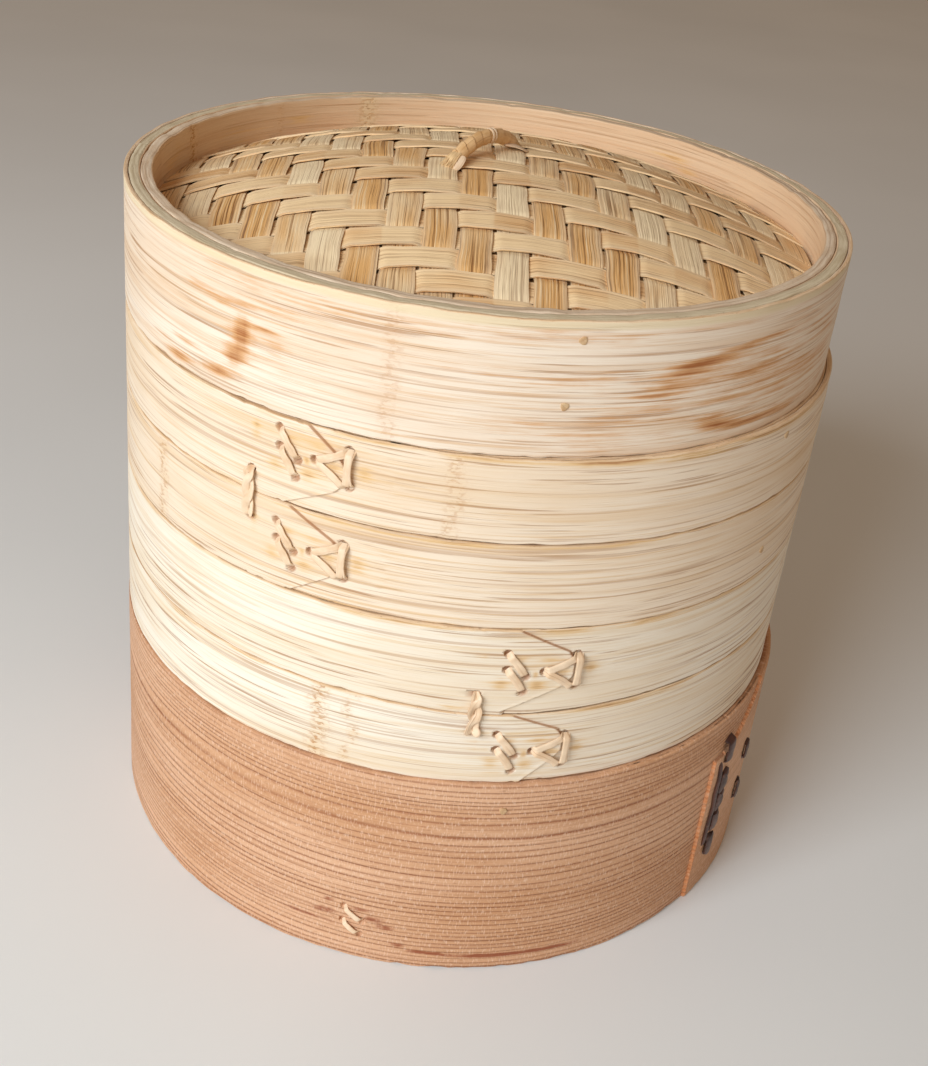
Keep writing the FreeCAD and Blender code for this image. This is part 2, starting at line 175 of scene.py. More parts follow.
def join(parts):
    """Several lofts as one: verts, faces and UV."""
    verts, faces, uvs = [], [], []
    base = 0
    for points, polygons, uv in parts:
        verts.append(points)
        faces += [[corner + base for corner in polygon] for polygon in polygons]
        uvs.append(uv)
        base += len(points)
    return np.concatenate(verts), faces, np.concatenate(uvs)


def strip_section(thickness, crown=0.0, lip=0.0, points=9):
    """Outline of a split strip: a crowned or lipped top and a flat back."""
    across = np.linspace(-1, 1, points)
    top = thickness / 2 + crown * (1 - across ** 2) + lip * np.abs(across) ** 6
    top[[0, -1]] -= thickness * 0.25
    back = np.array([[0.97, -thickness / 2], [0.0, -thickness / 2], [-0.97, -thickness / 2]])
    return np.concatenate([np.stack([across, top], axis=1), back])


def ribbon(path, outward, half, section, uv_shift=0.0, lean=0.0):
    """Flat strip along a path, its top facing outward but for a lean."""
    along = unit(np.gradient(path, axis=0))
    side = unit(np.cross(outward, along))
    normal = np.cross(along, side)
    cosine, sine = np.reshape(np.cos(lean), (-1, 1)), np.reshape(np.sin(lean), (-1, 1))
    side, normal = side * cosine + normal * sine, normal * cosine - side * sine
    across = side[:, None, :] * (section[None, :, 0] * np.reshape(half, (-1, 1)))[..., None]
    return loft(path[:, None, :] + across + normal[:, None, :] * section[None, :, 1:2], uv_shift)


# -------------------------------------------------------------- materials

def colour(red, green, blue):
    """Linear colour from an sRGB one in 0 to 255."""
    def linear(value):
        value = value / 255
        return value / 12.92 if value <= 0.04045 else ((value + 0.055) / 1.055) ** 2.4
    return linear(red), linear(green), linear(blue), 1.0


class Graph:
    """Wires up the shader nodes of one material."""

    def __init__(self, name):
        self.material = bpy.data.materials.new(name)
        self.material.use_nodes = True
        self.tree = self.material.node_tree
        self.shader = self.tree.nodes["Principled BSDF"]

    def make(self, kind, inputs=(), **settings):
        node = self.tree.nodes.new(kind)
        for key, value in settings.items():
            setattr(node, key, value)
        for key, value in dict(inputs).items():
            self.feed(node.inputs[key], value)
        return node

    def feed(self, socket, value):
        if isinstance(value, bpy.types.NodeSocket):
            self.tree.links.new(value, socket)
        else:
            socket.default_value = value

    def scaled(self, source, features):
        """Coordinates scaled to so many features a metre."""
        return self.make("ShaderNodeMapping", {"Vector": source, "Scale": features}).outputs["Vector"]

    def place(self, across, deep, level):
        """Object coordinates, scaled to features a metre."""
        return self.scaled(self.make("ShaderNodeTexCoord").outputs["Object"], (across, deep, level))

    def noise(self, vector, detail=2.0, rough=0.5, distortion=0.0):
        inputs = {"Vector": vector, "Scale": 1.0, "Detail": detail, "Roughness": rough,
                  "Distortion": distortion}
        return self.make("ShaderNodeTexNoise", inputs).outputs["Fac"]

    def grain(self, along, across, detail=2.0, rough=0.5, distortion=0.0):
        """Noise with so many features a metre along and across the grain."""
        source = self.make("ShaderNodeUVMap", uv_map=GRAIN).outputs["UV"]
        return self.noise(self.scaled(source, (along, across, 1.0)), detail, rough, distortion)

    def attribute(self, name):
        return self.make("ShaderNodeAttribute", attribute_name=name).outputs["Fac"]

    def math(self, operation, first, second=0.0, third=0.0):
        node = self.make("ShaderNodeMath", operation=operation)
        for socket, value in zip(node.inputs, (first, second, third)):
            self.feed(socket, value)
        return node.outputs["Value"]

    def times(self, first, second):
        return self.math("MULTIPLY", first, second)

    def plus(self, first, second):
        return self.math("ADD", first, second)

    def minus(self, first, second):
        return self.math("SUBTRACT", first, second)

    def times_plus(self, first, factor, added):
        return self.math("MULTIPLY_ADD", first, factor, added)

    def remap(self, value, low, high, out_low=0.0, out_high=1.0):
        inputs = {"Value": value, "From Min": low, "From Max": high, "To Min": out_low, "To Max": out_high}
        return self.make("ShaderNodeMapRange", inputs, interpolation_type="SMOOTHSTEP").outputs["Result"]

    def mix(self, factor, first, second):
        """Mix of two colours, each a socket or an sRGB colour."""
        node = self.make("ShaderNodeMix", data_type="RGBA", blend_type="MIX")
        self.feed(node.inputs[0], factor)
        for socket, value in zip(node.inputs[6:8], (first, second)):
            self.feed(socket, colour(*value) if isinstance(value, tuple) else value)
        return node.outputs[2]

    def over(self, base, tint, value, low, high, most=1.0):
        """The base with a tint over it, more of it as value goes from low to high."""
        return self.mix(self.remap(value, low, high, 0.0, most), base, tint)

    def finish(self, base, roughness, height, depth, strength, specular):
        """Closes the material with a bump so many metres deep."""
        inputs = {"Height": height, "Distance": depth, "Strength": strength}
        self.feed(self.shader.inputs["Normal"], self.make("ShaderNodeBump", inputs).outputs["Normal"])
        self.feed(self.shader.inputs["Base Color"], base)
        self.feed(self.shader.inputs["Roughness"], roughness)
        self.feed(self.shader.inputs["Specular IOR Level"], specular)
        return self.material


def bamboo_face(name, light, mid, blush=(226, 186, 128), stain=(156, 94, 48), contrast=1.0):
    """Split and scraped bamboo: fine fibres along the strip, warm stains."""
    g = Graph(name)
    streak = (172, 124, 80)
    fine = g.grain(24, 1500, 2, 0.6)
    fibre = g.grain(10, 640, 4, 0.7)
    base = g.over(light, mid, g.grain(9, 34, 3, 0.55), 0.38, 0.72, 0.45)
    base = g.over(base, mid, g.grain(6, 240, 3, 0.6), 0.5, 0.7, 0.5 * contrast)
    base = g.over(base, mid, fibre, 0.5, 0.66, 0.85 * contrast)
    base = g.over(base, mid, fine, 0.52, 0.72, 0.5 * contrast)
    base = g.over(base, streak, g.grain(5, 520, 2, 0.6), 0.58, 0.66, 0.42 * contrast)
    vein = g.times(g.remap(g.grain(16, 900, 2, 0.55, 0.2), 0.58, 0.66),
                   g.remap(g.grain(12, 60), 0.35, 0.65, 0.25, 1.0))
    base = g.mix(g.times(vein, 0.75 * contrast), base, streak)
    blot = g.minus(g.grain(45, 170, 4, 0.6), 0.5)
    ragged = g.minus(g.grain(18, 820, 4, 0.75), 0.5)
    held = g.attribute("stain")
    present = g.remap(held, 0.0, 0.2)
    amount = g.times_plus(ragged, 2.5, g.times_plus(blot, 1.1, held))
    base = g.mix(g.times(g.remap(amount, 0.1, 0.85, 0.0, 0.85), present), base, blush)
    base = g.mix(g.times(g.remap(amount, 0.6, 1.4, 0.0, 0.9), present), base, stain)
    node_mark = g.attribute("knot")
    knot = g.times(g.remap(g.grain(420, 800, 2, 0.6), 0.48, 0.6), node_mark)
    base = g.mix(g.times(node_mark, 0.3), base, blush)
    base = g.mix(g.times(knot, 0.8), base, (188, 128, 70))
    base = g.mix(g.attribute("torn"), base, (228, 209, 170))
    # The cut value darkens cut fibres round holes. Along a band's pointed end it is the cut end of the ply,
    # darkened with painted shade of its step.
    base = g.mix(g.attribute("cut"), base, (186, 138, 102))
    height = g.plus(g.times(fibre, 0.9), g.times(fine, 0.4))
    height = g.minus(g.minus(height, g.times(vein, 0.4)), g.times(knot, 0.5))
    return g.finish(base, g.remap(fibre, 0.3, 0.7, 0.55, 0.7), height, 0.0003, 0.9, 0.3)


def bamboo_edge(name, light, mid, dark):
    """Sawn edge of a bamboo ply: grey-green, speckled, with ply lines."""
    g = Graph(name)
    fibre = g.grain(60, 1100, 3, 0.6)
    speckle = g.grain(600, 1500, 2, 0.6)
    base = g.over(light, mid, fibre, 0.35, 0.68)
    base = g.over(base, dark, g.grain(5, 620), 0.5, 0.72, 0.6)
    base = g.over(base, dark, speckle, 0.6, 0.75, 0.4)
    return g.finish(base, 0.72, g.plus(fibre, speckle), 0.0002, 0.8, 0.2)


def softwood(name, light, mid, line, fleck, red):
    """Flat-sawn softwood bent round the stack, with dark growth lines."""
    g = Graph(name)
    level = g.make("ShaderNodeSeparateXYZ", {"Vector": g.place(1, 1, 1)}).outputs["Z"]
    # Growth lines a metre of height, closer together in two belts and wider in one.
    lines = g.times(level, 345)
    lines = g.plus(lines, g.remap(level, 0.0, 0.036, 0.0, 4.5))
    lines = g.plus(lines, g.remap(level, 0.067, 0.086, 0.0, 3.0))
    lines = g.minus(lines, g.remap(level, 0.059, 0.070, 0.0, 1.3))
    lines = g.times_plus(g.noise(g.place(3, 3, 8)), 3.6, lines)
    warped = g.times_plus(g.grain(22, 90, 3, 0.6), 0.45, lines)
    place = {"W": warped, "Scale": 1.0, "Randomness": 0.62}
    rings, cells = (g.make("ShaderNodeTexVoronoi", place, feature=feature, voronoi_dimensions="1D")
                    for feature in ("DISTANCE_TO_EDGE", "F1"))
    rings = rings.outputs["Distance"]
    band = g.make("ShaderNodeSeparateColor", {"Color": cells.outputs["Color"]}).outputs
    lined = g.minus(1.0, g.attribute("knot"))
    strength = g.times(g.remap(g.grain(9, 200, 3, 0.6), 0.3, 0.6, 0.45, 1.0),
                       g.remap(band["Green"], 0.0, 0.8, 0.5, 1.0))
    late = g.times(g.times(g.remap(rings, 0.17, 0.02), strength), lined)
    soft = g.times(g.times(g.remap(rings, 0.5, 0.0), strength), lined)
    fibre = g.grain(40, 1800, 3, 0.65)
    pores = g.grain(240, 760, 2, 0.65)
    base = g.over(light, mid, g.noise(g.place(9, 9, 30), 3, 0.55), 0.35, 0.7)
    base = g.mix(g.times(band["Red"], 0.35), base, mid)
    base = g.over(base, line, g.grain(7, 1000), 0.52, 0.7, 0.3)
    base = g.mix(g.times(soft, 0.3), base, line)
    base = g.mix(g.times(late, 0.8), base, line)
    base = g.over(base, line, pores, 0.55, 0.75, 0.35)
    base = g.over(base, fleck, g.grain(1900, 420, 2, 0.6), 0.52, 0.66, 0.5)
    stain = g.attribute("stain")
    amount = g.times_plus(g.minus(g.grain(130, 260, 4, 0.7), 0.5), 1.8, stain)
    base = g.mix(g.times(g.remap(amount, 0.25, 1.0, 0.0, 0.9), g.remap(stain, 0.0, 0.3)), base, red)
    base = g.mix(g.attribute("torn"), base, (212, 136, 84))
    height = g.times_plus(late, -0.7, g.times_plus(fibre, 0.5, g.times(pores, 0.5)))
    return g.finish(base, g.remap(fibre, 0.3, 0.7, 0.55, 0.7), height, 0.00035, 0.9, 0.25)


def woven_strip(name, pale, mid, dark, coarse=False):
    """Split strip of the woven dome, each strip and float with its own tone."""
    g = Graph(name)
    fibre = g.grain(34, 1500, 3, 0.65)
    bundle = g.grain(13, 1250 if coarse else 950, 4, 0.65)
    shade = g.times_plus(g.minus(g.grain(28, 60), 0.5), 1.4, g.attribute("tone"))
    base = g.over(pale, mid, shade, 0.1, 0.9)
    bundled = g.remap(bundle, 0.52, 0.63, 0.0, 0.9 if coarse else 0.65)
    base = g.mix(g.times(bundled, g.remap(shade, 0.0, 0.9, 0.45, 1.0)), base, dark)
    base = g.over(base, pale, bundle, 0.46, 0.36, 0.7)
    base = g.over(base, dark, fibre, 0.56, 0.72, 0.5)
    base = g.over(base, pale, fibre, 0.44, 0.3, 0.4)
    # Painted highlight: the edge value lightens both lips of each strip towards a pale cream.
    base = g.mix(g.times(g.attribute("edge"), 0.6), base, (246, 220, 182))
    height = g.times_plus(bundle, -1.0, g.times(fibre, -0.5))
    depth = 0.0006 if coarse else 0.0004
    return g.finish(base, g.remap(fibre, 0.3, 0.7, 0.45, 0.65), height, depth, 1.0, 0.3)


def cane(name, light, mid, dark, gloss=0.5):
    """Split cane: smooth, a little glossy, with faint lengthwise lines."""
    g = Graph(name)
    line = g.grain(35, 1700)
    tone = g.grain(120, 200, 3, 0.6)
    base = g.over(g.over(light, mid, tone, 0.35, 0.7), dark, line, 0.58, 0.78, 0.6)
    height = g.plus(line, g.times(tone, 0.4))
    return g.finish(base, g.remap(line, 0.3, 0.7, gloss, gloss + 0.14), height, 0.0002, 0.7, 0.45)


def bark(name):
    """Polished bark strip with crosswise pores."""
    g = Graph(name)
    pore = g.grain(420, 90, 3, 0.6)
    tone = g.grain(90, 140, 3, 0.6)
    base = g.over((92, 56, 44), (52, 30, 26), tone, 0.3, 0.7)
    base = g.over(base, (150, 108, 88), pore, 0.6, 0.72, 0.6)
    return g.finish(base, g.remap(tone, 0.3, 0.7, 0.32, 0.5), g.plus(pore, tone), 0.0004, 0.8, 0.5)


def table_top(name):
    """Plain pale table."""
    g = Graph(name)
    base = g.over((237, 240, 239), (232, 235, 234), g.noise(g.place(3, 3, 3)), 0.3, 0.7)
    return g.finish(base, 0.62, g.noise(g.place(900, 900, 900)), 0.00005, 0.4, 0.3)


BAND = bamboo_face("bamboo_band", (240, 222, 198), (223, 190, 148))
PALE_BAND = bamboo_face("bamboo_band_pale", (244, 233, 214), (229, 204, 168))
LID_WALL = bamboo_face("bamboo_lid", (240, 224, 203), (221, 187, 150), (210, 152, 92), (158, 90, 40))
LINING = bamboo_face("bamboo_lining", (228, 198, 162), (212, 172, 132), contrast=0.6)
SLAT = bamboo_face("bamboo_slat", (226, 198, 156), (206, 170, 124))
RIM = bamboo_edge("bamboo_rim", (222, 208, 178), (199, 182, 148), (152, 128, 94))
RIM_TAN = bamboo_edge("bamboo_rim_tan", (234, 207, 172), (216, 180, 138), (150, 104, 64))
RIM_INNER = bamboo_edge("bamboo_rim_inner", (231, 212, 186), (211, 184, 152), (146, 110, 78))
BOARD = softwood("softwood_board", (227, 182, 146), (206, 155, 114), (146, 84, 48), (238, 206, 178),
                 (146, 76, 46))
ALONG = woven_strip("weave_along", (253, 231, 190), (232, 181, 116), (132, 82, 38), True)
ACROSS = woven_strip("weave_across", (252, 222, 174), (229, 179, 120), (140, 88, 44))
UNDER = woven_strip("weave_under", (190, 148, 98), (156, 110, 62), (92, 58, 28), True)
FIBRE = woven_strip("handle_fibre", (228, 194, 144), (204, 160, 106), (146, 96, 52))
CANE = cane("split_cane", (240, 214, 182), (224, 190, 152), (164, 116, 76), 0.38)
CANE_WRAP = cane("cane_wrap", (234, 194, 142), (214, 168, 112), (150, 98, 52))
PEG = cane("bamboo_peg", (214, 182, 140), (192, 152, 108), (120, 80, 46))
BARK = bark("cherry_bark")

# Materials of a hoop's outer wall, top edge, inner wall and bottom edge.
LINED = [LINING, RIM_TAN, LINING, RIM]
BOARDED = [BOARD] * 4


# ------------------------------------------------------------------ hoops

OUTER, TOP, INNER, BOTTOM = range(4)


def spread_azimuths(zones, coarse=1.2, fine=0.16):
    """Azimuths round a hoop, closer together in (middle, half width) zones."""
    start = -179.63
    angles = [start]
    while angles[-1] < start + 360.0 - coarse * 0.5:
        here = angles[-1]
        near = any(abs(turn(here + fine, middle)) < half for middle, half in zones)
        angles.append(here + (fine if near else coarse))
    return np.array(angles[:-1])


def hoop_outline(outer, inner, bottom, top, corner, row, inner_row):
    """Closed section of one ply: radius, level and side of each point."""
    def rise(low, high, spacing):
        return np.linspace(low, high, max(3, int((top - bottom) / spacing) + 1))

    cut = corner * 0.3
    points = [(outer, level, OUTER) for level in rise(bottom + corner, top - corner, row)]
    points.append((outer - cut, top - cut, TOP))
    points += [(radius, top, TOP) for radius in np.linspace(outer - corner, inner + corner, 5)]
    points.append((inner + cut, top - cut, INNER))
    points += [(inner, level, INNER) for level in rise(top - corner, bottom + corner, inner_row)]
    points.append((inner + cut, bottom + cut, BOTTOM))
    points += [(radius, bottom, BOTTOM) for radius in np.linspace(inner + corner, outer - corner, 3)]
    points.append((outer - cut, bottom + cut, OUTER))
    return np.array(points)


def edge_wear(azimuth, fray, seed, waves, nicks, rare):
    """How far an edge is worn back round a hoop, in slow waves and small nicks."""
    slow = fray * (0.5 + 0.5 * ripple(azimuth, seed, 3, waves))
    nicked = nicks * fray * smooth(ripple(azimuth, seed + 1, 40, 170), *rare)
    return np.maximum(slow + nicked, 0.0)[:, None]


def hoop(node, inner, body, faces_of, relief=None, marks=None, zones=(), row=1.2, inner_row=6.0,
         corner=0.5, fray=0.25, seed=1, bend=None, dip=None):
    """Bent ply that stands for a CAD hoop, with worn edges and relief.

    relief takes azimuth and level grids and gives mm; marks gives the stain,
    knot, torn and cut values; bend turns the grid along a ply's end and dip
    shifts its levels; faces_of lists the materials for outer wall, top edge,
    inner wall and bottom edge.
    """
    centre, outer, bottom, top = node_ring(node)
    outline = hoop_outline(outer, inner, bottom, top, corner, row, inner_row)
    azimuth = spread_azimuths(zones)
    angle = azimuth[:, None]
    radius = np.broadcast_to(outline[:, 0], (len(azimuth), len(outline))).copy()
    level = np.broadcast_to(outline[:, 1], radius.shape).copy()
    side = outline[:, 2]
    share = (level - bottom) / (top - bottom)
    if bend is not None:
        angle = bend(angle, share)

    level -= edge_wear(azimuth, fray, seed, 60, 0.7, (0.7, 1.3)) * smooth(level, top - 3.0, top)
    level += edge_wear(azimuth, fray, seed + 2, 70, 1.0, (0.6, 1.2)) * smooth(level, bottom + 3.0, bottom)
    if dip is not None:
        level = level + dip(angle, level)
    outside = (radius > (outer + inner) / 2)
    if relief is not None:
        radius += np.where(outside, relief(angle, level), 0.0)
    radius -= 0.05 * (1 + ripple(azimuth[:, None] + 40 * share, seed + 4, 5, 26)) * outside

    along = np.radians(np.append(azimuth, azimuth[0] + 360.0)) * outer
    reach = np.hypot(*np.diff(outline[:, :2], axis=0, append=outline[:1, :2]).T)
    around = np.concatenate([[0], np.cumsum(reach)])
    points, faces, uv = loft(circle_point(centre, radius, angle, level), seed * 31.0, True, along, around)
    beside = np.roll(side, -1)
    kinds = np.maximum(side, beside).astype(int)
    kinds[-1] = BOTTOM
    kinds[(side == OUTER) & (beside == OUTER)] = OUTER
    given = marks(angle, level, outside) if marks else (0.0, 0.0, 0.0, 0.0)
    values = {key: np.broadcast_to(value, radius.shape)
              for key, value in zip(("stain", "knot", "torn", "cut"), given)}
    sides = np.tile(kinds, len(azimuth))
    return make_piece(node, points, faces, body, faces_of, (node,), uv, sides, values)


def spots(angle, level, places):
    """Sum of soft spots, each (azimuth, level, half width, half height, strength)."""
    total = np.zeros(np.broadcast(angle, level).shape)
    for azimuth, height, width, tall, strength in places:
        reach = (turn(angle, azimuth) / width) ** 2 + ((level - height) / tall) ** 2
        total = total + strength * np.exp(-reach)
    return total


def hole_gaps(angle, level, radius, holes):
    """Distance in mm over a hoop's wall from the middle of each hole."""
    return [np.hypot(np.radians(turn(angle, azimuth)) * radius, level - height) for azimuth, height in holes]


def hole_depth(angle, level, radius, holes, depth=1.3, edge=(1.5, 1.05)):
    """Depth of round holes, whose sides slope between two radii."""
    return sum(depth * smooth(gap, *edge) for gap in hole_gaps(angle, level, radius, holes))


def hole_marks(angle, level, radius, holes):
    """Cut fibres round holes."""
    return np.maximum.reduce([0.8 * smooth(gap, 1.7, 1.2) for gap in hole_gaps(angle, level, radius, holes)])


def ply_end(lap, share):
    """Azimuth of a band's pointed end at each height from 0 to 1.

    lap is the azimuth of the lace and where the end's foot and head lie from it.
    """
    azimuth, foot, head = lap
    heights = [0.0, 0.3, 0.42, 0.6, 0.72, 1.0]
    return azimuth + np.interp(share, heights, [foot, 3.1, 4.5, 4.5, 3.4, head])


# Places round a lace, in degrees and mm from its middle. A blot also has its
# half width, half height and strength.
LACE_BLOTS = [(-9.5, 4.5, 0.7, 4.0, 0.5), (-6.2, -5.0, 1.2, 2.6, 0.5), (-0.9, -5.6, 1.3, 2.0, 0.5),
              (-1.2, -1.2, 0.5, 1.2, 0.7), (2.9, -0.8, 1.2, 1.6, 0.45), (7.2, -0.6, 1.2, 2.6, 0.55),
              (0.6, 4.6, 1.4, 1.0, 0.4), (-3.6, 4.8, 0.9, 1.0, 0.4)]
LACE_HOLES = [(-5.6, 7.1), (-2.6, -2.0), (-5.5, 0.9), (-2.8, -8.0), (0.0, 0.0), (4.9, 5.6), (5.2, -6.7)]
BAND_STEP = 0.75
STEP_EDGE = 0.17


def lace_holes(azimuth, level):
    """Where a lace's holes lie on its hoop."""
    return [(azimuth + turned, level + raised) for turned, raised in LACE_HOLES]


def band_bend(lap):
    """Turns a band's grid so that its columns follow the pointed end."""
    def bend(azimuth, share):
        near = 1 - smooth(np.abs(turn(azimuth, lap[0])), 5.0, 13.0)
        return azimuth + near * (ply_end(lap, share) - lap[0])
    return bend


def past_end(angle, level, lap, band):
    """Distance in mm past a band's pointed end; band is its radius, bottom and top."""
    radius, bottom, top = band
    return np.radians(turn(angle, ply_end(lap, (level - bottom) / (top - bottom)))) * radius


def band_relief(lap, band, holes):
    """Relief of an outer band: the step at its pointed end, and its holes."""
    def relief(angle, level):
        away = past_end(angle, level, lap, band)
        beyond = turn(angle, lap[0])
        drop = smooth(away, STEP_EDGE - 0.2, STEP_EDGE + 0.2) * (1 - smooth(beyond / 75.0, 0.0, 1.0))
        raised = 0.15 * smooth(away, -3.0, 0.0) * (away < STEP_EDGE)
        depth = BAND_STEP * drop * (beyond > -12) - raised + 0.2
        return -(depth + hole_depth(angle, level, band[0], holes, 1.5))
    return relief


def band_marks(lap, band, places, knots, holes, seed):
    """Stains of a band: round its laces, along its top edge and at its nodes."""
    radius, bottom, top = band

    def marks(angle, level, outside):
        stain = spots(angle, level, places)
        lip = 0.8 * bump_at(level - top, 1.5) * smooth(ripple(angle, seed, 4, 30), -0.9, 0.7)
        foot = 0.5 * bump_at(level - bottom, 0.9) * smooth(ripple(angle, seed + 1, 4, 40), -0.2, 1.0)
        lean = 0.4 * np.sin((level - bottom) * 0.35)
        knot = sum(strength * bump_at(turn(angle, azimuth) + lean, width)
                   for azimuth, width, strength in knots)
        upper = smooth(level, (bottom + top) / 2, (bottom + top) / 2 + 6)
        # Cut end of the ply along the pointed end, darkened with painted shade of the step, stronger in the
        # upper half.
        cut = bump_at(past_end(angle, level, lap, band) - STEP_EDGE, 0.22 + 0.3 * upper)
        cut = cut * (0.45 + 0.45 * upper) * (np.abs(turn(angle, lap[0])) < 12)
        cut = np.maximum(cut, hole_marks(angle, level, radius, holes))
        return np.clip(stain + lip + foot, 0, 2) * outside, np.clip(knot, 0, 1) * outside, 0.0, cut * outside
    return marks


def strip_piece(name, parts, body, material, stands_for=(), values=None, crease=50.0):
    """Several closed strips as one piece; values has one number for each point."""
    verts, faces, uv = join(parts)
    return make_piece(name, verts, faces, body, [material], stands_for, uv, None, values, crease)


def lace_strip(centre, radius, start, end, seed, width=2.5, lift=0.42, bow=0.0):
    """Strip of cane over a hoop, from hole to hole, with its ends tucked in."""
    t = np.linspace(0.0, 1.0, 34)
    span = math.hypot(math.radians(end[0] - start[0]) * radius, end[1] - start[1])
    inset = 0.4 / span
    azimuth, level = (first + (last - first) * (inset + (1 - 2 * inset) * t)
                      for first, last in zip(start, end))
    edge = np.abs(2 * t - 1)
    height = lift + 0.3 * (1 - edge ** 2) - (lift + 1.25) * smooth(edge, 1 - 3.4 / span, 1.02) ** 1.3
    height = height + 0.05 * wobble(t * 10, seed, 3, 9)
    path = circle_point(centre, radius + height, azimuth, level)
    outward = circle_point(0, 1, azimuth, 0.0)
    side = unit(np.cross(outward, unit(np.gradient(path, axis=0))))
    path = path + side * (bow * (1 - edge ** 2))[:, None]
    half = width / 2 * (1 - 0.25 * smooth(edge, 0.85, 1.1)) * (1 + 0.06 * wobble(t * 10, seed + 5, 3, 8))
    return ribbon(path, outward, half, strip_section(0.42, crown=0.1), seed * 7.3)


def lacing(node, body, hoop_node, azimuth, level, seed):
    """The two slanting strokes and the triangle that fasten a band's lap."""
    centre, radius, _, _ = node_ring(hoop_node)
    first, second, third, fourth, left, high, low = lace_holes(azimuth, level)
    strokes = [
        (first, second, {"bow": 0.35}),
        (third, fourth, {"bow": 0.5}),
        (left, (high[0] + 0.1, high[1]), {"bow": -0.15}),
        (left, (low[0] - 0.5, low[1] - 0.4), {"bow": 0.7}),
        ((high[0] + 0.15, high[1] + 0.7), (low[0] - 0.35, low[1] - 0.2),
         {"width": 2.3, "lift": 0.78, "bow": 0.1}),
        ((high[0] + 0.8, high[1] + 0.3), (low[0] + 0.55, low[1]),
         {"width": 0.8, "lift": 0.55, "bow": -0.9}),
    ]
    parts = [lace_strip(centre, radius, start, end, seed + count, **shape)
             for count, (start, end, shape) in enumerate(strokes)]
    return strip_piece(node, parts, body, CANE, (node,))


def twisted_tie(centre, radius, azimuth, low, high, seed):
    """Two flat strands twisted together over the seam, ends tucked in."""
    parts = []
    t = np.linspace(-0.04, 1.04, 120)
    edge = np.clip(np.abs(2 * t - 1), 0, 1.08)
    lift = 0.75 - 2.3 * smooth(edge, 0.84, 1.08)
    reach = 1.2 * (1 - 0.75 * smooth(edge, 0.8, 1.05))
    half = 1.3 * (1 - 0.35 * smooth(edge, 0.85, 1.05)) * (1 + 0.12 * wobble(t * 12, seed, 2, 7))
    for number in range(2):
        spin = 0.4 + number * math.pi + t * 2 * math.pi * 1.15 + 0.2 * wobble(t * 12, seed + number, 4, 9)
        turned = azimuth + np.degrees(reach * np.sin(spin) / radius)
        raised = radius + lift + 0.38 * reach * np.cos(spin)
        path = circle_point(centre, raised, turned, low + (high - low) * t)
        parts.append(ribbon(path, circle_point(0, 1, turned, 0.0), half, strip_section(0.4, crown=0.15),
                            seed * 3.1 + number, -0.5 * np.sin(spin)))
    return parts


def peg_part(centre, radius, azimuth, level, seed, size=1.3, proud=0.06):
    """Whittled bamboo peg, flush with the wall, with an uneven outline."""
    rng = np.random.RandomState(seed)
    spin = np.linspace(0, 2 * math.pi, 18, endpoint=False)
    uneven = 0.1 * np.cos(3 * spin + rng.uniform(0, 6)) + 0.05 * np.cos(7 * spin + rng.uniform(0, 6))
    outline = size * (1 + uneven)
    rings = []
    for scale, lift in ((1.0, -2.4), (1.0, -0.1), (0.96, proud - 0.08), (0.86, proud), (0.5, proud + 0.03),
                        (0.05, proud)):
        turned = azimuth + np.degrees(outline * scale * np.cos(spin) / radius)
        height = level + outline * scale * np.sin(spin)
        rings.append(circle_point(centre, radius + lift, turned, height)[::-1])
    return loft(rings, seed * 1.7)


def peg_set(node, body, hoop_node, places, seed):
    """All the pegs of one part of the stack."""
    centre, radius, _, _ = node_ring(hoop_node)
    parts = [peg_part(centre, radius, *place, seed + count) for count, place in enumerate(places)]
    return strip_piece(node, parts, body, PEG, (node,))


# ------------------------------------------------------------------ tiers

def seam_dip(seam, lap, sag):
    """Change of level that lets the seam between two bands dip by their laps."""
    def dip(angle, level):
        return -sag * bump_at(turn(angle, lap - 5.0), 16.0) * bump_at(level - seam, 8.0)
    return dip


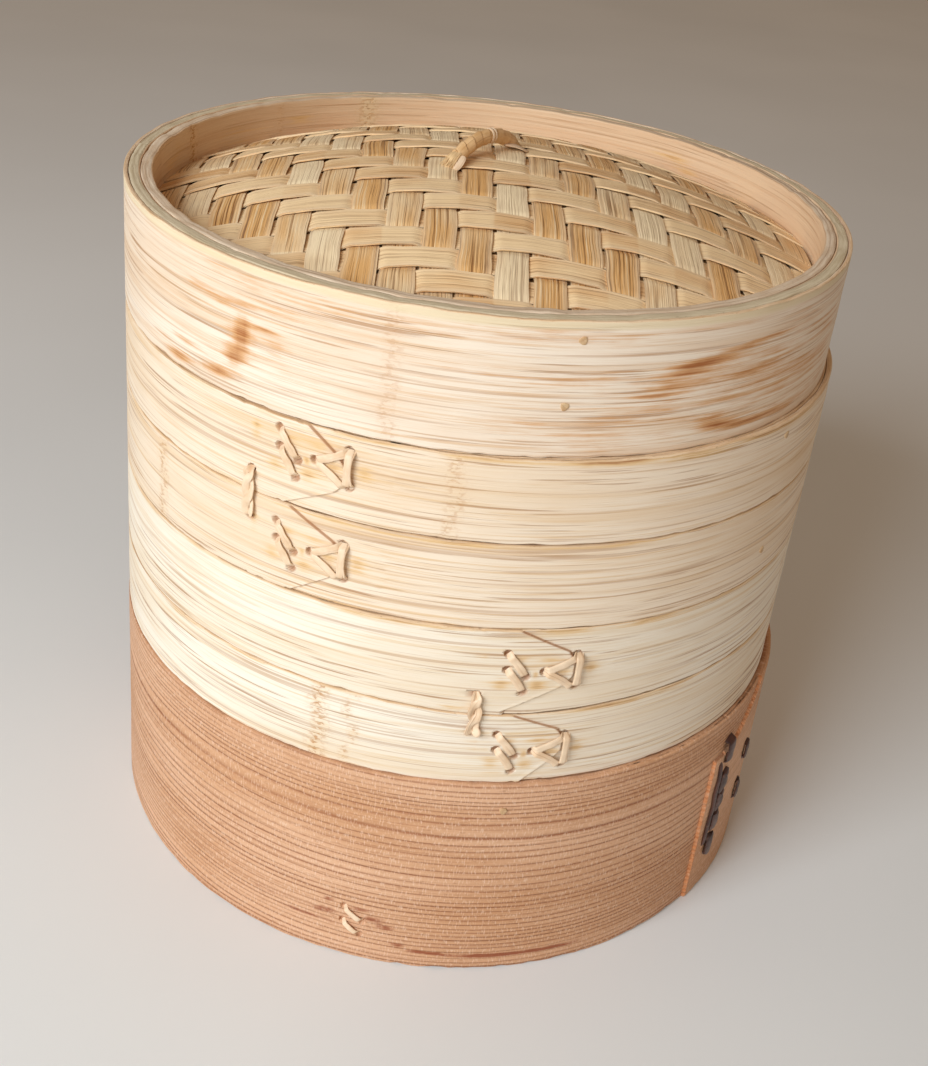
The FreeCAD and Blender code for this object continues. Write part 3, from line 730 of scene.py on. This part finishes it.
def tier(name, lap, ends, laces, tie, tie_reach, pegs, knots, stains, sag, face, seed):
    """Everything that shows of one tier; each pair is for the bottom and the top band.

    ends says where each band's pointed end starts and stops beside its lace;
    tie_reach is how far the tie runs below and above the seam; sag is how far
    the seam between the bands dips by the lap.
    """
    halves = ("_bottom", "_top")
    centre, radius, _, seam = node_ring(name + "_bottom_band")
    ties = (tie, tie + 180)
    tie_holes = [(azimuth, seam + lift) for azimuth in ties for lift in tie_reach]
    for count, (half, end, lace, knot, stain) in enumerate(zip(halves, ends, laces, knots, stains)):
        band = (radius, *node_ring(name + half + "_band")[2:])
        lap_end = (lap, *end)
        laced = lace_holes(lap, lace)
        places = [(*hole, 0.9, 2.0, -0.35) for hole in laced] + [(lap - 0.5, lace + 1.0, 9.0, 11.0, 0.3)]
        places += [(lap + turned, lace + raised, *size) for turned, raised, *size in LACE_BLOTS]
        holes = laced + tie_holes
        marks = band_marks(lap_end, band, places + [stain], knot, holes, seed + 9 * count)
        hoop(name + half + "_band", radius - BAND_PLY, name, [face, RIM_TAN, face, RIM_TAN],
             band_relief(lap_end, band, holes), marks, [(lap, 9.5), (tie, 1.6), (tie + 180, 1.6)], row=0.5,
             corner=0.45, fray=0.3, seed=seed + 10 * count, bend=band_bend(lap_end),
             dip=seam_dip(seam, lap, sag))
    for half, lace in zip(halves, laces):
        lacing(name + half + "_lacing", name, name + half + "_band", lap, lace, seed + 3)
    parts = []
    for count, azimuth in enumerate(ties):
        parts += twisted_tie(centre, radius, azimuth, seam + tie_reach[0], seam + tie_reach[1], seed + count)
    strip_piece(name + "_seam_ties", parts, name, CANE, (name + "_seam_ties",))
    peg_set(name + "_pegs", name, name + "_top_band", pegs, seed + 40)

    inner, locator = (node_ring(name + part)[1] for part in ("_inner_hoop", "_locating_hoop"))
    for count, (part, inside, row, corner, fray) in enumerate((
            ("_core_hoop", inner + PLY_GAP, 12.0, 0.35, 0.2),
            ("_inner_hoop", locator + PLY_GAP, 12.0, 0.35, 0.2),
            ("_locating_hoop", locator - LOCATOR_PLY, 6.0, 0.5, 0.35),
            ("_floor_ring", locator - LOCATOR_PLY, 4.0, 0.4, 0.2))):
        hoop(name + part, inside, name, LINED, row=row, corner=corner, fray=fray,
             seed=seed + 21 + count)
    slatted_floor(name, seed)


def plank_part(low, high, lengthwise, chord, crown, seed):
    """Bamboo slat or batten between two corners, its ends cut to a circle.

    chord is (centre X, radius) of the circle; lengthwise is 0 for X, 1 for Y.
    """
    crosswise = 1 - lengthwise
    rng = np.random.RandomState(seed)
    across = np.linspace(0, 1, 9)
    profile = [(a, 1 - crown * (2 * a - 1) ** 2 - 0.1 * (a in (0, 1))) for a in across]
    profile += [(a, 0.02 + 0.08 * (a in (0, 1))) for a in across[::-1]]
    origin = (chord[0], 0.0)
    rings = []
    steps = np.linspace(-1, 1, 60)
    for step, drift in zip(steps, 0.25 * wobble(steps * 120, seed, 30, 90)):
        ring = []
        for a, h in profile:
            place = low[crosswise] + a * (high[crosswise] - low[crosswise]) + drift * (0.5 - abs(a - 0.5)) * 2
            reach = math.sqrt(max(chord[1] ** 2 - (place - origin[crosswise]) ** 2, 0.0)) - 0.15
            point = [0.0, 0.0, low[2] + h * (high[2] - low[2])]
            point[crosswise] = place
            point[lengthwise] = origin[lengthwise] + step * reach
            ring.append(point)
        rings.append(ring[::-1] if lengthwise else ring)
    return loft(rings, rng.uniform(0, 900))


def islands(node, axis):
    """Extents along one axis, in mm, of the separate boards in a CAD node."""
    places = np.array([vertex.co[axis] for vertex in node.data.vertices]) / MM
    merged = []
    for start, end in sorted(sorted(places[list(edge.vertices)]) for edge in node.data.edges):
        if merged and start <= merged[-1][1] + 0.05:
            merged[-1][1] = max(merged[-1][1], end)
        else:
            merged.append([start, end])
    return merged


FLOOR_RIB_HALF = 4.5


def slatted_floor(body, seed):
    """Slats and battens of one floor, one part for each solid in the CAD."""
    for kind, lengthwise, crown in (("_floor_slats", 0, 0.35), ("_floor_ribs", 1, 0.1)):
        node = body + kind
        low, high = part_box(node)
        centre, half = (low.x + high.x) / 2 / MM, (high.x - low.x) / 2 / MM
        reach = math.hypot(high.y / MM, half - FLOOR_RIB_HALF) if lengthwise else half
        parts = []
        for count, span in enumerate(islands(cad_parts[node], 1 - lengthwise)):
            corners = [[centre, 0.0, level / MM] for level in (low.z, high.z)]
            for corner, place in zip(corners, span):
                corner[1 - lengthwise] = place
            parts.append(plank_part(*corners, lengthwise, (centre, reach), crown, seed + count))
        strip_piece(node, parts, body, SLAT, (node,), crease=35.0)


tier("lower_tier", -74.8, [(-1.6, -6.4), (-5.4, -4.6)], [98.6, 130.8], -84.2, (-9.8, 6.0),
     [(60.0, 100.0), (60.0, 131.0), (178.0, 100.0), (178.0, 131.0)],
     [[(-107.2, 1.1, 1.0), (-102.2, 0.45, 0.9), (20.0, 1.2, 0.8)], [(150.0, 1.1, 0.8), (-20.0, 1.0, 0.5)]],
     [(-60.0, 113.6, 13.0, 1.0, 0.7), (-60.0, 145.4, 16.0, 1.0, 0.5)], 2.0, PALE_BAND, 11)
tier("upper_tier", -110.2, [(-3.2, -4.2), (-4.8, -1.5)], [163.2, 195.5], -120.4, (-9.2, 7.4),
     [(-35.4, 156.9), (-36.2, 201.3), (84.0, 157.0), (84.0, 201.0)],
     [[(-140.7, 1.1, 0.7), (40.0, 1.2, 0.8)], [(-90.5, 1.1, 0.5), (100.0, 1.0, 0.8)]],
     [(-100.0, 176.0, 14.0, 1.2, 0.5), (-60.0, 205.4, 30.0, 1.3, 0.55)], 0.3, BAND, 61)


# ------------------------------------------------------------------- base

BASE_RADIUS = node_ring("base_board")[1]
BASE_STROKES = [((-101.4, 23.4), (-98.2, 18.0)), ((-101.5, 16.9), (-98.6, 11.8))]
SEAM_LEVELS = [0.0, 66.9, 67.9, 68.4, 83.4, 86.0]
SEAM_AZIMUTHS = [-36.8, -36.6, -30.4, -29.9, -21.0, -19.6]
SEAM_STEP = 1.2


def past_seam(angle, level):
    """Distance in mm past the board's outer end."""
    return np.radians(turn(angle, np.interp(level, SEAM_LEVELS, SEAM_AZIMUTHS))) * BASE_RADIUS


def board_relief(angle, level):
    """The board's outer end stands over the turn below, which eases back out."""
    ragged = 0.35 * np.sin(level * 2.9) + 0.25 * np.sin(level * 7.3 + 1)
    away = past_seam(angle, level) + 0.35 * ragged
    under = SEAM_STEP * smooth(away, 0.1, -0.25) * smooth(turn(angle, -110.0), 0.0, 74.0)
    under = under * (turn(angle, -110.0) > 0) * (turn(angle, 20.0) < 0)
    holes = [place for stroke in BASE_STROKES for place in stroke]
    return -(under + hole_depth(angle, level, BASE_RADIUS, holes, edge=(1.3, 0.9)) + 0.12)


def board_marks(angle, level, outside):
    """Red stains by the lower lace, the bright torn end, the plain lapped end."""
    away = past_seam(angle, level)
    stain = spots(angle, level, [
        (-103.9, 24.8, 1.2, 1.2, 0.9), (-104.8, 19.5, 1.6, 1.8, 0.8), (-98.6, 23.4, 1.8, 1.0, 0.8),
        (-96.4, 20.0, 1.8, 1.6, 0.8), (-94.6, 17.0, 1.4, 1.2, 0.85), (-92.4, 9.5, 1.4, 1.1, 1.0),
        (-88.0, 7.5, 3.0, 0.8, 1.2), (-79.0, 6.5, 7.0, 0.8, 1.3), (-67.0, 6.4, 8.0, 0.8, 1.2),
        (-108.5, 14.5, 5.0, 0.9, 0.9), (-116.0, 17.5, 5.0, 0.9, 0.5), (-90.0, 70.8, 16.0, 0.8, 0.5),
        (-100.0, 16.0, 7.0, 7.0, 0.22), (-30.0, 45.0, 3.0, 30.0, 0.25),
    ])
    lip = bump_at(away + 0.1, 0.65) * (0.75 + 0.25 * np.sin(level * 5.1 + np.sin(level * 1.7)))
    plain = smooth(away, 0.1, 0.6) * (1 - smooth(turn(angle, -36.0), 50.0, 80.0)) * 0.85
    return stain * outside, plain * outside, lip * outside, 0.0


hoop("base_board", BASE_RADIUS - BASE_BOARD, "base", BOARDED, board_relief, board_marks,
     [(-28.5, 10.5), (-100.0, 3.2)], row=0.8, corner=0.6, fray=0.5, seed=3)
LOCATOR_OUTER = node_ring("base_locating_hoop")[1]
for node in ("base_foot_hoop", "base_rim_hoop"):
    hoop(node, LOCATOR_OUTER + PLY_GAP, "base", BOARDED, row=9.0, corner=0.6, fray=0.3, seed=91)
hoop("base_lining_hoop", node_ring("base_lining_hoop")[1] - BASE_LINING, "base", BOARDED,
     row=9.0, corner=0.4, fray=0.2, seed=92)
hoop("base_locating_hoop", LOCATOR_OUTER - LOCATOR_PLY, "base", LINED, row=6.0, corner=0.5,
     fray=0.35, seed=93)
slatted_floor("base", 95)
strip_piece("base_lacing", [lace_strip(0.0, BASE_RADIUS, *stroke, 7 + count, width=2.0)
                            for count, stroke in enumerate(BASE_STROKES)],
            "base", CANE, ("base_lacing",))
peg_set("base_pegs", "base", "base_board", [(-78.7, 74.6), (11.3, 74.6), (101.3, 74.6), (191.3, 74.6)], 97)


def bark_pad(azimuth, level, tall, wide, seed, lift=0.55):
    """Strip of bark over the lap, bulging, with its ends tucked in."""
    t = np.linspace(-1, 1, 26)
    rise = lift - 2.1 * smooth(np.abs(t), 0.8, 1.0) + 0.35 * (1 - t ** 2)
    turned = azimuth + 0.25 * wobble(t * 9, seed, 4, 12)
    path = circle_point(0.0, BASE_RADIUS + rise, turned, level + t * tall / 2)
    half = wide / 2 * (0.82 + 0.18 * np.sqrt(1 - 0.9 * t ** 2)) * (1 + 0.07 * wobble(t * 9, seed + 3, 3, 9))
    outward = circle_point(0.0, 1.0, azimuth, 0.0)
    return ribbon(path, outward, half, strip_section(0.6, crown=0.28), seed * 2.3)


BARK_COLUMN = [(68.0, 11.0), (53.5, 9.0), (44.0, 8.0), (34.0, 9.0), (22.0, 11.0)]
pads = [bark_pad(-32.6, *place, 5.4, count) for count, place in enumerate(BARK_COLUMN)]
pads += [bark_pad(-22.0, *place, 4.2, 20 + count) for count, place in enumerate(BARK_COLUMN[1::2])]
strip_piece("base_bark_stitches", pads, "base", BARK, ("base_bark_stitches",))
strip_piece("base_bark_run", [bark_pad(-34.4, 44.0, 46.0, 2.6, 31, lift=0.1)], "base", BARK)


# -------------------------------------------------------------------- lid

LID_CENTRE, LID_RADIUS, _, LID_TOP = node_ring("lid_outer_hoop")
LID_LACE = (104.0, 228.0)
LID_HOLES = lace_holes(*LID_LACE)
LID_STAINS = [
    (-122.5, 228.0, 1.4, 6.0, 0.95), (-124.0, 219.5, 1.9, 4.0, 0.75), (-126.5, 212.5, 2.6, 2.0, 0.8),
    (-131.0, 237.0, 3.2, 1.2, 0.5), (-126.5, 235.0, 3.0, 1.4, 0.6), (-119.0, 231.5, 2.2, 0.8, 0.6),
    (-116.3, 227.0, 1.8, 3.0, 0.35), (-134.5, 216.4, 4.0, 0.7, 0.95), (-136.3, 210.2, 3.4, 1.6, 0.85),
    (-140.5, 213.2, 3.0, 0.7, 0.6), (-141.0, 206.6, 5.0, 1.2, 0.6),
    (-119.0, 240.0, 8.0, 4.0, 0.3), (-118.0, 226.0, 16.0, 14.0, 0.22),
    (-64.0, 226.0, 3.5, 0.8, 0.75), (-62.5, 228.4, 4.0, 0.8, 0.6), (-62.0, 230.6, 4.0, 0.8, 0.75),
    (-60.5, 232.6, 4.0, 0.9, 0.8), (-58.5, 234.6, 4.5, 0.9, 0.9), (-54.5, 236.2, 4.5, 0.9, 0.85),
    (-50.0, 237.8, 4.5, 0.8, 0.75), (-45.0, 239.2, 5.0, 0.7, 0.7), (-57.0, 231.0, 7.0, 5.0, 0.25),
    (-54.0, 215.6, 2.6, 1.6, 0.6), (-52.5, 213.0, 3.6, 1.2, 0.8), (-46.5, 211.8, 6.0, 1.1, 0.75),
    (-38.0, 211.0, 8.0, 1.0, 0.6), (-68.0, 222.0, 7.0, 6.0, 0.25), (-75.0, 214.0, 14.0, 7.0, 0.32),
    (-48.0, 224.0, 12.0, 9.0, 0.3), (-34.0, 226.0, 20.0, 20.0, 0.34), (-80.0, 232.0, 18.0, 4.0, 0.25),
    (-95.0, 245.0, 40.0, 3.0, 0.28), (70.0, 228.0, 7.0, 4.0, 0.6), (120.0, 236.0, 9.0, 3.0, 0.5),
]


def lid_marks(angle, level, outside):
    """Stains of the lid's outer ply, its node and the skin left along its top."""
    stain = spots(angle, level, LID_STAINS)
    faint = 0.4 * bump_at(turn(angle, -100.0) + 0.3 * np.sin(level * 0.5), 1.0)
    knot = faint + bump_at(turn(angle, 62.0), 1.0)
    skin = smooth(level, LID_TOP - 3.4 + 0.5 * ripple(angle, 5, 2, 20), LID_TOP - 2.2) * 0.75
    cut = hole_marks(angle, level, LID_RADIUS, LID_HOLES)
    return stain * outside, np.clip(knot, 0, 1) * outside, skin * outside, cut * outside


def lid_relief(angle, level):
    """Holes of the lid's lace."""
    return -(0.15 + hole_depth(angle, level, LID_RADIUS, LID_HOLES))


LID_NODES = [(118.0, 1.7), (164.5, 1.2), (138.0, 0.35)]
LINING_STAINS = [(52.0, 243.0, 5.0, 1.8, 0.8), (48.0, 239.0, 3.0, 1.4, 0.6), (133.5, 242.5, 3.2, 1.3, 0.9),
                 (150.0, 240.0, 9.0, 5.0, 0.3), (171.0, 242.0, 6.0, 5.0, 0.4)]


def inner_marks(angle, level, outside):
    """Node bands and stains of the wall inside the lid."""
    stain = spots(angle, level, LINING_STAINS)
    knot = sum(bump_at(turn(angle, azimuth), width) for azimuth, width in LID_NODES)
    pale = 0.4 * bump_at(turn(angle, LID_NODES[0][0]), 2.2)
    return stain * ~outside, np.clip(knot, 0, 1) * ~outside, pale * ~outside, 0.0


hoop("lid_outer_hoop", LID_RADIUS - LID_SKIN, "lid", [LID_WALL, RIM_TAN, LID_WALL, RIM_TAN],
     lid_relief, lid_marks, [(LID_LACE[0], 7.0)], row=0.7, corner=0.35, fray=0.3, seed=121)
LID_INNER = node_ring("lid_inner_hoop")[1]
hoop("lid_core_hoop", LID_INNER + PLY_GAP, "lid", [LINING, RIM, LINING, RIM], row=12.0,
     corner=0.5, fray=0.3, seed=122)
hoop("lid_inner_hoop", LID_INNER - LID_INNER_PLY, "lid", [LINING, RIM_INNER, LINING, RIM],
     marks=inner_marks, row=6.0, inner_row=0.7, corner=0.5, fray=0.35, seed=123)
hoop("lid_clamp_hoop", LID_INNER - LID_INNER_PLY, "lid", LINED, row=6.0, corner=0.5,
     fray=0.35, seed=124)
lacing("lid_lacing", "lid", "lid_outer_hoop", *LID_LACE, 125)
peg_set("lid_pegs", "lid", "lid_outer_hoop",
        [(-75.6, 244.2), (-76.8, 223.6), (44.0, 244.2), (44.0, 223.6), (164.0, 244.2), (164.0, 223.6)], 127)

# Woven dome: part of a ball, with strips twilled two over and two under.
DOME_RADIUS = 302.1
DOME_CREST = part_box("lid_woven_dome")[1].z / MM
BALL_CENTRE = np.array([LID_CENTRE, 0.0, DOME_CREST - DOME_RADIUS])
DOME_REACH = node_ring("lid_woven_dome")[1] - 0.2
WEAVE_BEARING = math.radians(93.0)
ALONG_WAY = np.array([math.cos(WEAVE_BEARING), math.sin(WEAVE_BEARING)])
ACROSS_WAY = np.array([math.sin(WEAVE_BEARING), -math.cos(WEAVE_BEARING)])


def dome_point(plan, depth):
    """Points under the dome's outside; plan is X, Y from the lid's axis."""
    reach = np.sum(np.square(plan), axis=-1)
    level = BALL_CENTRE[2] + np.sqrt((DOME_RADIUS - depth) ** 2 - reach)
    return np.stack([LID_CENTRE + plan[..., 0], plan[..., 1], level], axis=-1)


def dome_strip(way, aside, offset, reach, depth, width, thickness, seed, tilt=0.0, crown=0.0, lip=0.0,
               step=0.9, drift=0.25):
    """Strip laid over the dome; depth is a function of the distance along."""
    t = np.linspace(-reach, reach, max(4, int(2 * reach / step)))
    beside = offset + drift * wobble(t, seed, 25, 80)
    path = dome_point(way * t[:, None] + aside * beside[:, None], depth(t))
    half = width / 2 * (1 + 0.035 * wobble(t, seed + 7, 12, 60))
    section = strip_section(thickness, crown, lip)
    return t, ribbon(path, unit(path - BALL_CENTRE), half, section, seed * 5.9, tilt), len(section)


def weave(name, nodes, material, way, aside, offsets, crossings, is_over, depth, swing, bulge, width,
          thickness, seed, tone_mid, tone_spread, soft=2.5, tilt=0.0, crown=0.0, lip=0.0, step=0.9):
    """All the strips of one direction, each waving over and under the others."""
    rng = np.random.RandomState(seed)
    edges = (crossings[1:] + crossings[:-1]) / 2
    parts, tones, edge_highlights = [], [], []
    for number, offset in offsets:
        state = np.array([1.0 if is_over(number, cross) else -1.0 for cross in range(len(crossings))])
        reach = math.sqrt(DOME_REACH ** 2 - offset ** 2)

        def sunk(t, state=state):
            rise = np.full_like(t, state[0])
            swell = np.zeros_like(t)
            for before, after, edge in zip(state, state[1:], edges):
                rise = rise + (after - before) * smooth(t, edge - soft, edge + soft)
                swell = swell + (before > 0) * (after > 0) * bump_at(t - edge, 5.0)
            return depth - swing * rise - bulge * swell

        t, part, ring = dome_strip(way, aside, offset, reach, sunk, width + rng.uniform(-0.4, 0.3), thickness,
                                   seed + 11 * number, tilt, crown, lip, step)
        floats = (np.searchsorted(edges, t) + number + 1) // 4
        table = rng.uniform(-1, 1, floats.max() + 3)
        tone = tone_mid + tone_spread * (0.6 * table[floats] + 0.8 * rng.uniform(-1, 1))
        parts.append(part)
        tones.append(np.repeat(tone, ring))
        # Painted highlight: paler colour along both lips of each strip's top, carried by the edge value.
        edge_highlight = np.zeros(ring)
        edge_highlight[[0, 1, 7, 8]] = (1.0, 0.45, 0.3, 0.8)
        edge_highlights.append(np.tile(edge_highlight, len(t)))
    values = {"tone": np.concatenate(tones), "edge": np.concatenate(edge_highlights)}
    return strip_piece(name, parts, "lid", material, nodes, values)


COLUMN_PITCH = 11.65
ROW_PITCH = 11.6
COLUMN_SHIFT = -6.0
ROW_SHIFT = -66.6


def numbered(shift, pitch):
    """Numbers and offsets of the strips that fit across the dome."""
    first = math.ceil((-DOME_REACH + 3 - shift) / pitch)
    last = math.floor((DOME_REACH - 3 - shift) / pitch)
    return [(number, shift + number * pitch) for number in range(first, last + 1)]


COLUMNS = numbered(COLUMN_SHIFT, COLUMN_PITCH)
ROWS = numbered(ROW_SHIFT, ROW_PITCH)


def column_over(column, cross):
    return (ROWS[cross][0] + column) % 4 in (0, 3)


def row_over(row, cross):
    return (row + COLUMNS[cross][0]) % 4 not in (0, 3)


weave("woven_columns", ("lid_woven_dome",), ALONG, ALONG_WAY, ACROSS_WAY, COLUMNS,
      np.array([offset for _, offset in ROWS]), column_over, 1.05, 0.55, 0.15, 10.7, 0.6, 301, 0.5, 0.5,
      crown=0.12)
weave("woven_rows", (), ACROSS, ACROSS_WAY, ALONG_WAY, ROWS,
      np.array([offset for _, offset in COLUMNS]), row_over, 1.0, 0.55, 0.25, 10.9, 0.6, 401, 0.4, 0.3,
      lip=0.16, tilt=-0.035)

# Coarser weave under it, then the bent battens.
LATTICE_PITCH = 15.0
LATTICE = [(number, number * LATTICE_PITCH) for number in range(-7, 8)]
LATTICE_LINES = np.array([offset for _, offset in LATTICE])
for name, nodes, way, aside, odd in (
        ("lattice_columns", ("lid_dome_lattice",), ALONG_WAY, ACROSS_WAY, 0),
        ("lattice_rows", (), ACROSS_WAY, ALONG_WAY, 1)):
    def lattice_over(number, cross, odd=odd):
        return (number + cross + odd) % 2 == 0

    weave(name, nodes, UNDER, way, aside, LATTICE, LATTICE_LINES,
          lattice_over, 2.65, 0.35, 0.0, 12.5, 0.5, 501 + odd, 0.55, 0.4, soft=4.5, step=2.0)

BATTEN_OFFSET = 46.0
BATTEN_REACH = math.sqrt(DOME_REACH ** 2 - (BATTEN_OFFSET + 4.5) ** 2)
for node, depth, way, aside in (
        ("lid_dome_ribs", 4.65, np.array([1.0, 0.0]), np.array([0.0, -1.0])),
        ("lid_dome_cross_ribs", 7.15, np.array([0.0, 1.0]), np.array([1.0, 0.0]))):
    battens = []
    for offset in (-BATTEN_OFFSET, BATTEN_OFFSET):
        battens.append(dome_strip(way, aside, offset, BATTEN_REACH, lambda t: np.full_like(t, depth), 8.8,
                                  2.3, int(offset) + 60, step=4.0, drift=0.0)[1])
    strip_piece(node, battens, "lid", SLAT, (node,))


# ----------------------------------------------------------------- handle

HANDLE_BEARING = math.radians(58.0)
HANDLE_WAY = np.array([math.cos(HANDLE_BEARING), math.sin(HANDLE_BEARING), 0.0])
UP = np.array([0.0, 0.0, 1.0])
HANDLE_RISE = 6.5
HANDLE_BEND = 34.0
HANDLE_CENTRE = np.array([-6.8, 3.2, DOME_CREST - 0.6 + HANDLE_RISE - HANDLE_BEND])
WRAP_ANGLE = 29.0
WRAP_RADIUS = 2.32
WRAP_TURNS = 7.8
CORE_ANGLE = 56.0
CORE_RADIUS = 1.6
STRAND_RADIUS = 2.5


def arch(angle):
    """Point, tangent, normal and sideways direction of the handle's arch."""
    angle = np.radians(angle)[:, None]
    tangent = np.cos(angle) * HANDLE_WAY - np.sin(angle) * UP
    normal = np.sin(angle) * HANDLE_WAY + np.cos(angle) * UP
    return HANDLE_CENTRE + HANDLE_BEND * normal, tangent, normal, np.cross(normal, tangent)


def arch_tube(end, steps, radius_of, around, uv_shift=0.0):
    """Tube along the arch, between two like angles; radius_of takes angle and turn grids."""
    angle = np.linspace(-end, end, steps)
    point, _, normal, side = arch(angle)
    spin = np.linspace(0, 2 * math.pi, around, endpoint=False)
    radius = radius_of(angle[:, None], spin[None, :])
    rings = (point[:, None, :] + normal[:, None, :] * (radius * np.cos(spin))[..., None]
             + side[:, None, :] * (radius * np.sin(spin))[..., None])
    return loft(rings, uv_shift)


def wrap_radius(angle, spin):
    """Overlapping turns of cane, each a little wider at its far edge."""
    turns = (angle + WRAP_ANGLE) / (2 * WRAP_ANGLE) * WRAP_TURNS
    slant = spin / (2 * math.pi) + 0.08 * np.sin(spin * 2 + 1)
    local = np.mod(turns - slant + 1.0, 1.0)
    count = np.floor(turns - slant + 1.0)
    looseness = 0.09 * np.sin(count * 2.4)
    lip = (0.32 + looseness) * local - 0.16 * bump_at(local, 0.07)
    return WRAP_RADIUS + lip + 0.04 * np.sin(3 * spin + count)


def core_radius(angle, spin):
    """Bundle of fibres, swelling where it leaves the binding."""
    ridges = 0.16 * np.abs(np.sin(spin * 6.5 + 0.2 * angle)) + 0.08 * np.sin(spin * 17 + angle)
    swell = 1.0 * bump_at(angle + 33.0, 4.5) + 0.4 * bump_at(angle - 31.0, 3.5)
    return CORE_RADIUS + ridges + swell * (1 + 0.2 * np.sin(spin * 3 + 1))


strip_piece("handle_wrap", [arch_tube(WRAP_ANGLE, 200, wrap_radius, 44)], "lid", CANE_WRAP,
            ("lid_handle_wrap",), crease=30.0)
strip_piece("handle_core", [arch_tube(CORE_ANGLE, 120, core_radius, 60, 3.0)], "lid", FIBRE,
            ("lid_handle_core",), crease=60.0)


def wrapped_strand(middle, width, lift, seed):
    """One narrow strand bound round the handle."""
    spin = np.linspace(-2.4, 2.6, 60)
    point, _, normal, side = arch(middle + 1.6 * np.sin(spin * 0.5))
    out = normal * np.cos(spin)[:, None] + side * np.sin(spin)[:, None]
    path = point + out * (STRAND_RADIUS + lift)
    return ribbon(path, out, width / 2, strip_section(0.3, crown=0.12, points=7), seed)


strip_piece("handle_strand", [wrapped_strand(3.5, 1.3, 0.05, 4.0), wrapped_strand(6.2, 0.9, 0.0, 5.0)],
            "lid", CANE, crease=40.0)


def leaf(start, end, height, width, arching, seed):
    """Loose end of a cane strip lying on the dome, from one plan point to another."""
    t = np.linspace(0, 1, 22)
    plan = np.array(start) + (np.array(end) - np.array(start)) * t[:, None]
    lift = height * (1 - t) ** 1.5 + arching * np.sin(math.pi * t) - 0.3
    path = dome_point(plan - [LID_CENTRE, 0.0], -lift)
    half = width / 2 * np.sqrt(np.clip(1.04 - (2 * t - 0.9) ** 2 / 1.25, 0.03, 1))
    return ribbon(path, unit(path - BALL_CENTRE), half, strip_section(0.35, crown=0.3), seed)


strip_piece("handle_leaves", [
    leaf((-0.4, 12.6), (8.4, 15.6), 2.2, 7.0, 1.0, 1.0),
    leaf((-13.6, -12.6), (-15.6, -18.2), 3.0, 3.4, 0.6, 2.0),
], "lid", CANE, crease=40.0)


def fibres(count, seed):
    """Frayed fibres at the near end of the handle's core."""
    rng = np.random.RandomState(seed)
    parts = []
    for number in range(count):
        begin = rng.uniform(-31.0, -28.0)
        t = np.linspace(0, 1, 9)
        angle = begin - t * rng.uniform(6.0, 12.5)
        point, _, normal, side = arch(angle)
        spin = rng.uniform(-2.2, 2.2)
        out = normal * math.cos(spin) + side * math.sin(spin)
        flare = 2.35 + rng.uniform(-0.1, 0.9) * t ** 1.6
        path = point + out * flare[:, None] + side * (rng.uniform(-0.5, 0.5) * t)[:, None]
        half = rng.uniform(0.16, 0.42) * (1 - 0.6 * t)
        parts.append(ribbon(path, out, half, strip_section(0.22, points=5), number * 1.3))
    return parts


strip_piece("handle_fibres", fibres(46, 9), "lid", FIBRE, crease=60.0)

keeper_middle = sum(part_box("lid_handle_keeper"), Vector()) / 2 / MM
keeper_path = np.array(keeper_middle) + HANDLE_WAY * np.linspace(-32.8, 32.8, 50)[:, None]
strip_piece("handle_keeper", [ribbon(keeper_path, UP, 4.4, strip_section(2.4))], "lid", SLAT,
            ("lid_handle_keeper",))


# ------------------------------------------------------- camera and stage

# Metres; the turn is yaw, pitch down and roll in degrees, the lens in mm.
CAMERA_PLACE = (0.0, -0.5077, 0.3977)
CAMERA_TURN = (0.1987, 29.742, 6.714)
CAMERA_LENS = 49.17
TABLE_REACH = 9.0


def stage_and_camera():
    """Pale table, soft window light from the left, and the camera."""
    mesh = bpy.data.meshes.new("table")
    corners = [(x * TABLE_REACH, y * TABLE_REACH, 0) for x, y in ((-1, -1), (1, -1), (1, 1), (-1, 1))]
    mesh.from_pydata(corners, [], [(0, 1, 2, 3)])
    mesh.materials.append(table_top("table"))
    table = bpy.data.objects.new("table", mesh)
    bpy.context.scene.collection.objects.link(table)

    world = bpy.data.worlds.new("world")
    bpy.context.scene.world = world
    world.use_nodes = True
    background = world.node_tree.nodes["Background"]
    background.inputs["Color"].default_value = (1.0, 0.72, 0.5, 1.0)
    background.inputs["Strength"].default_value = 0.265

    def lamp(name, place, target, size, power, tint):
        light = bpy.data.lights.new(name, "AREA")
        light.shape = "RECTANGLE"
        light.size, light.size_y = size
        light.energy = power
        light.color = tint
        holder = bpy.data.objects.new(name, light)
        holder.location = place
        aim = Vector(target) - Vector(place)
        holder.rotation_euler = aim.to_track_quat("-Z", "Y").to_euler()
        bpy.context.scene.collection.objects.link(holder)

    lamp("window", (-0.88, -1.25, 0.95), (0, 0, 0.12), (1.0, 0.9), 27.9, (0.91, 0.985, 1.06))
    lamp("fill", (0.3, -1.7, 1.1), (0, 0, 0.1), (1.4, 1.0), 2.5, (1.0, 0.94, 0.88))

    camera = bpy.data.objects.new("camera", bpy.data.cameras.new("camera"))
    bpy.context.scene.collection.objects.link(camera)
    bpy.context.scene.camera = camera
    yaw, pitch, roll = (math.radians(value) for value in CAMERA_TURN)
    camera.matrix_world = (Matrix.Translation(CAMERA_PLACE) @ Matrix.Rotation(-yaw, 4, "Z")
                           @ Matrix.Rotation(math.pi / 2 - pitch, 4, "X") @ Matrix.Rotation(roll, 4, "Z"))
    camera.data.sensor_width = 36.0
    camera.data.lens = CAMERA_LENS
    camera.data.clip_start = 0.02
    camera.data.clip_end = 40.0


stage_and_camera()
bpy.context.scene.view_settings.view_transform = "Standard"
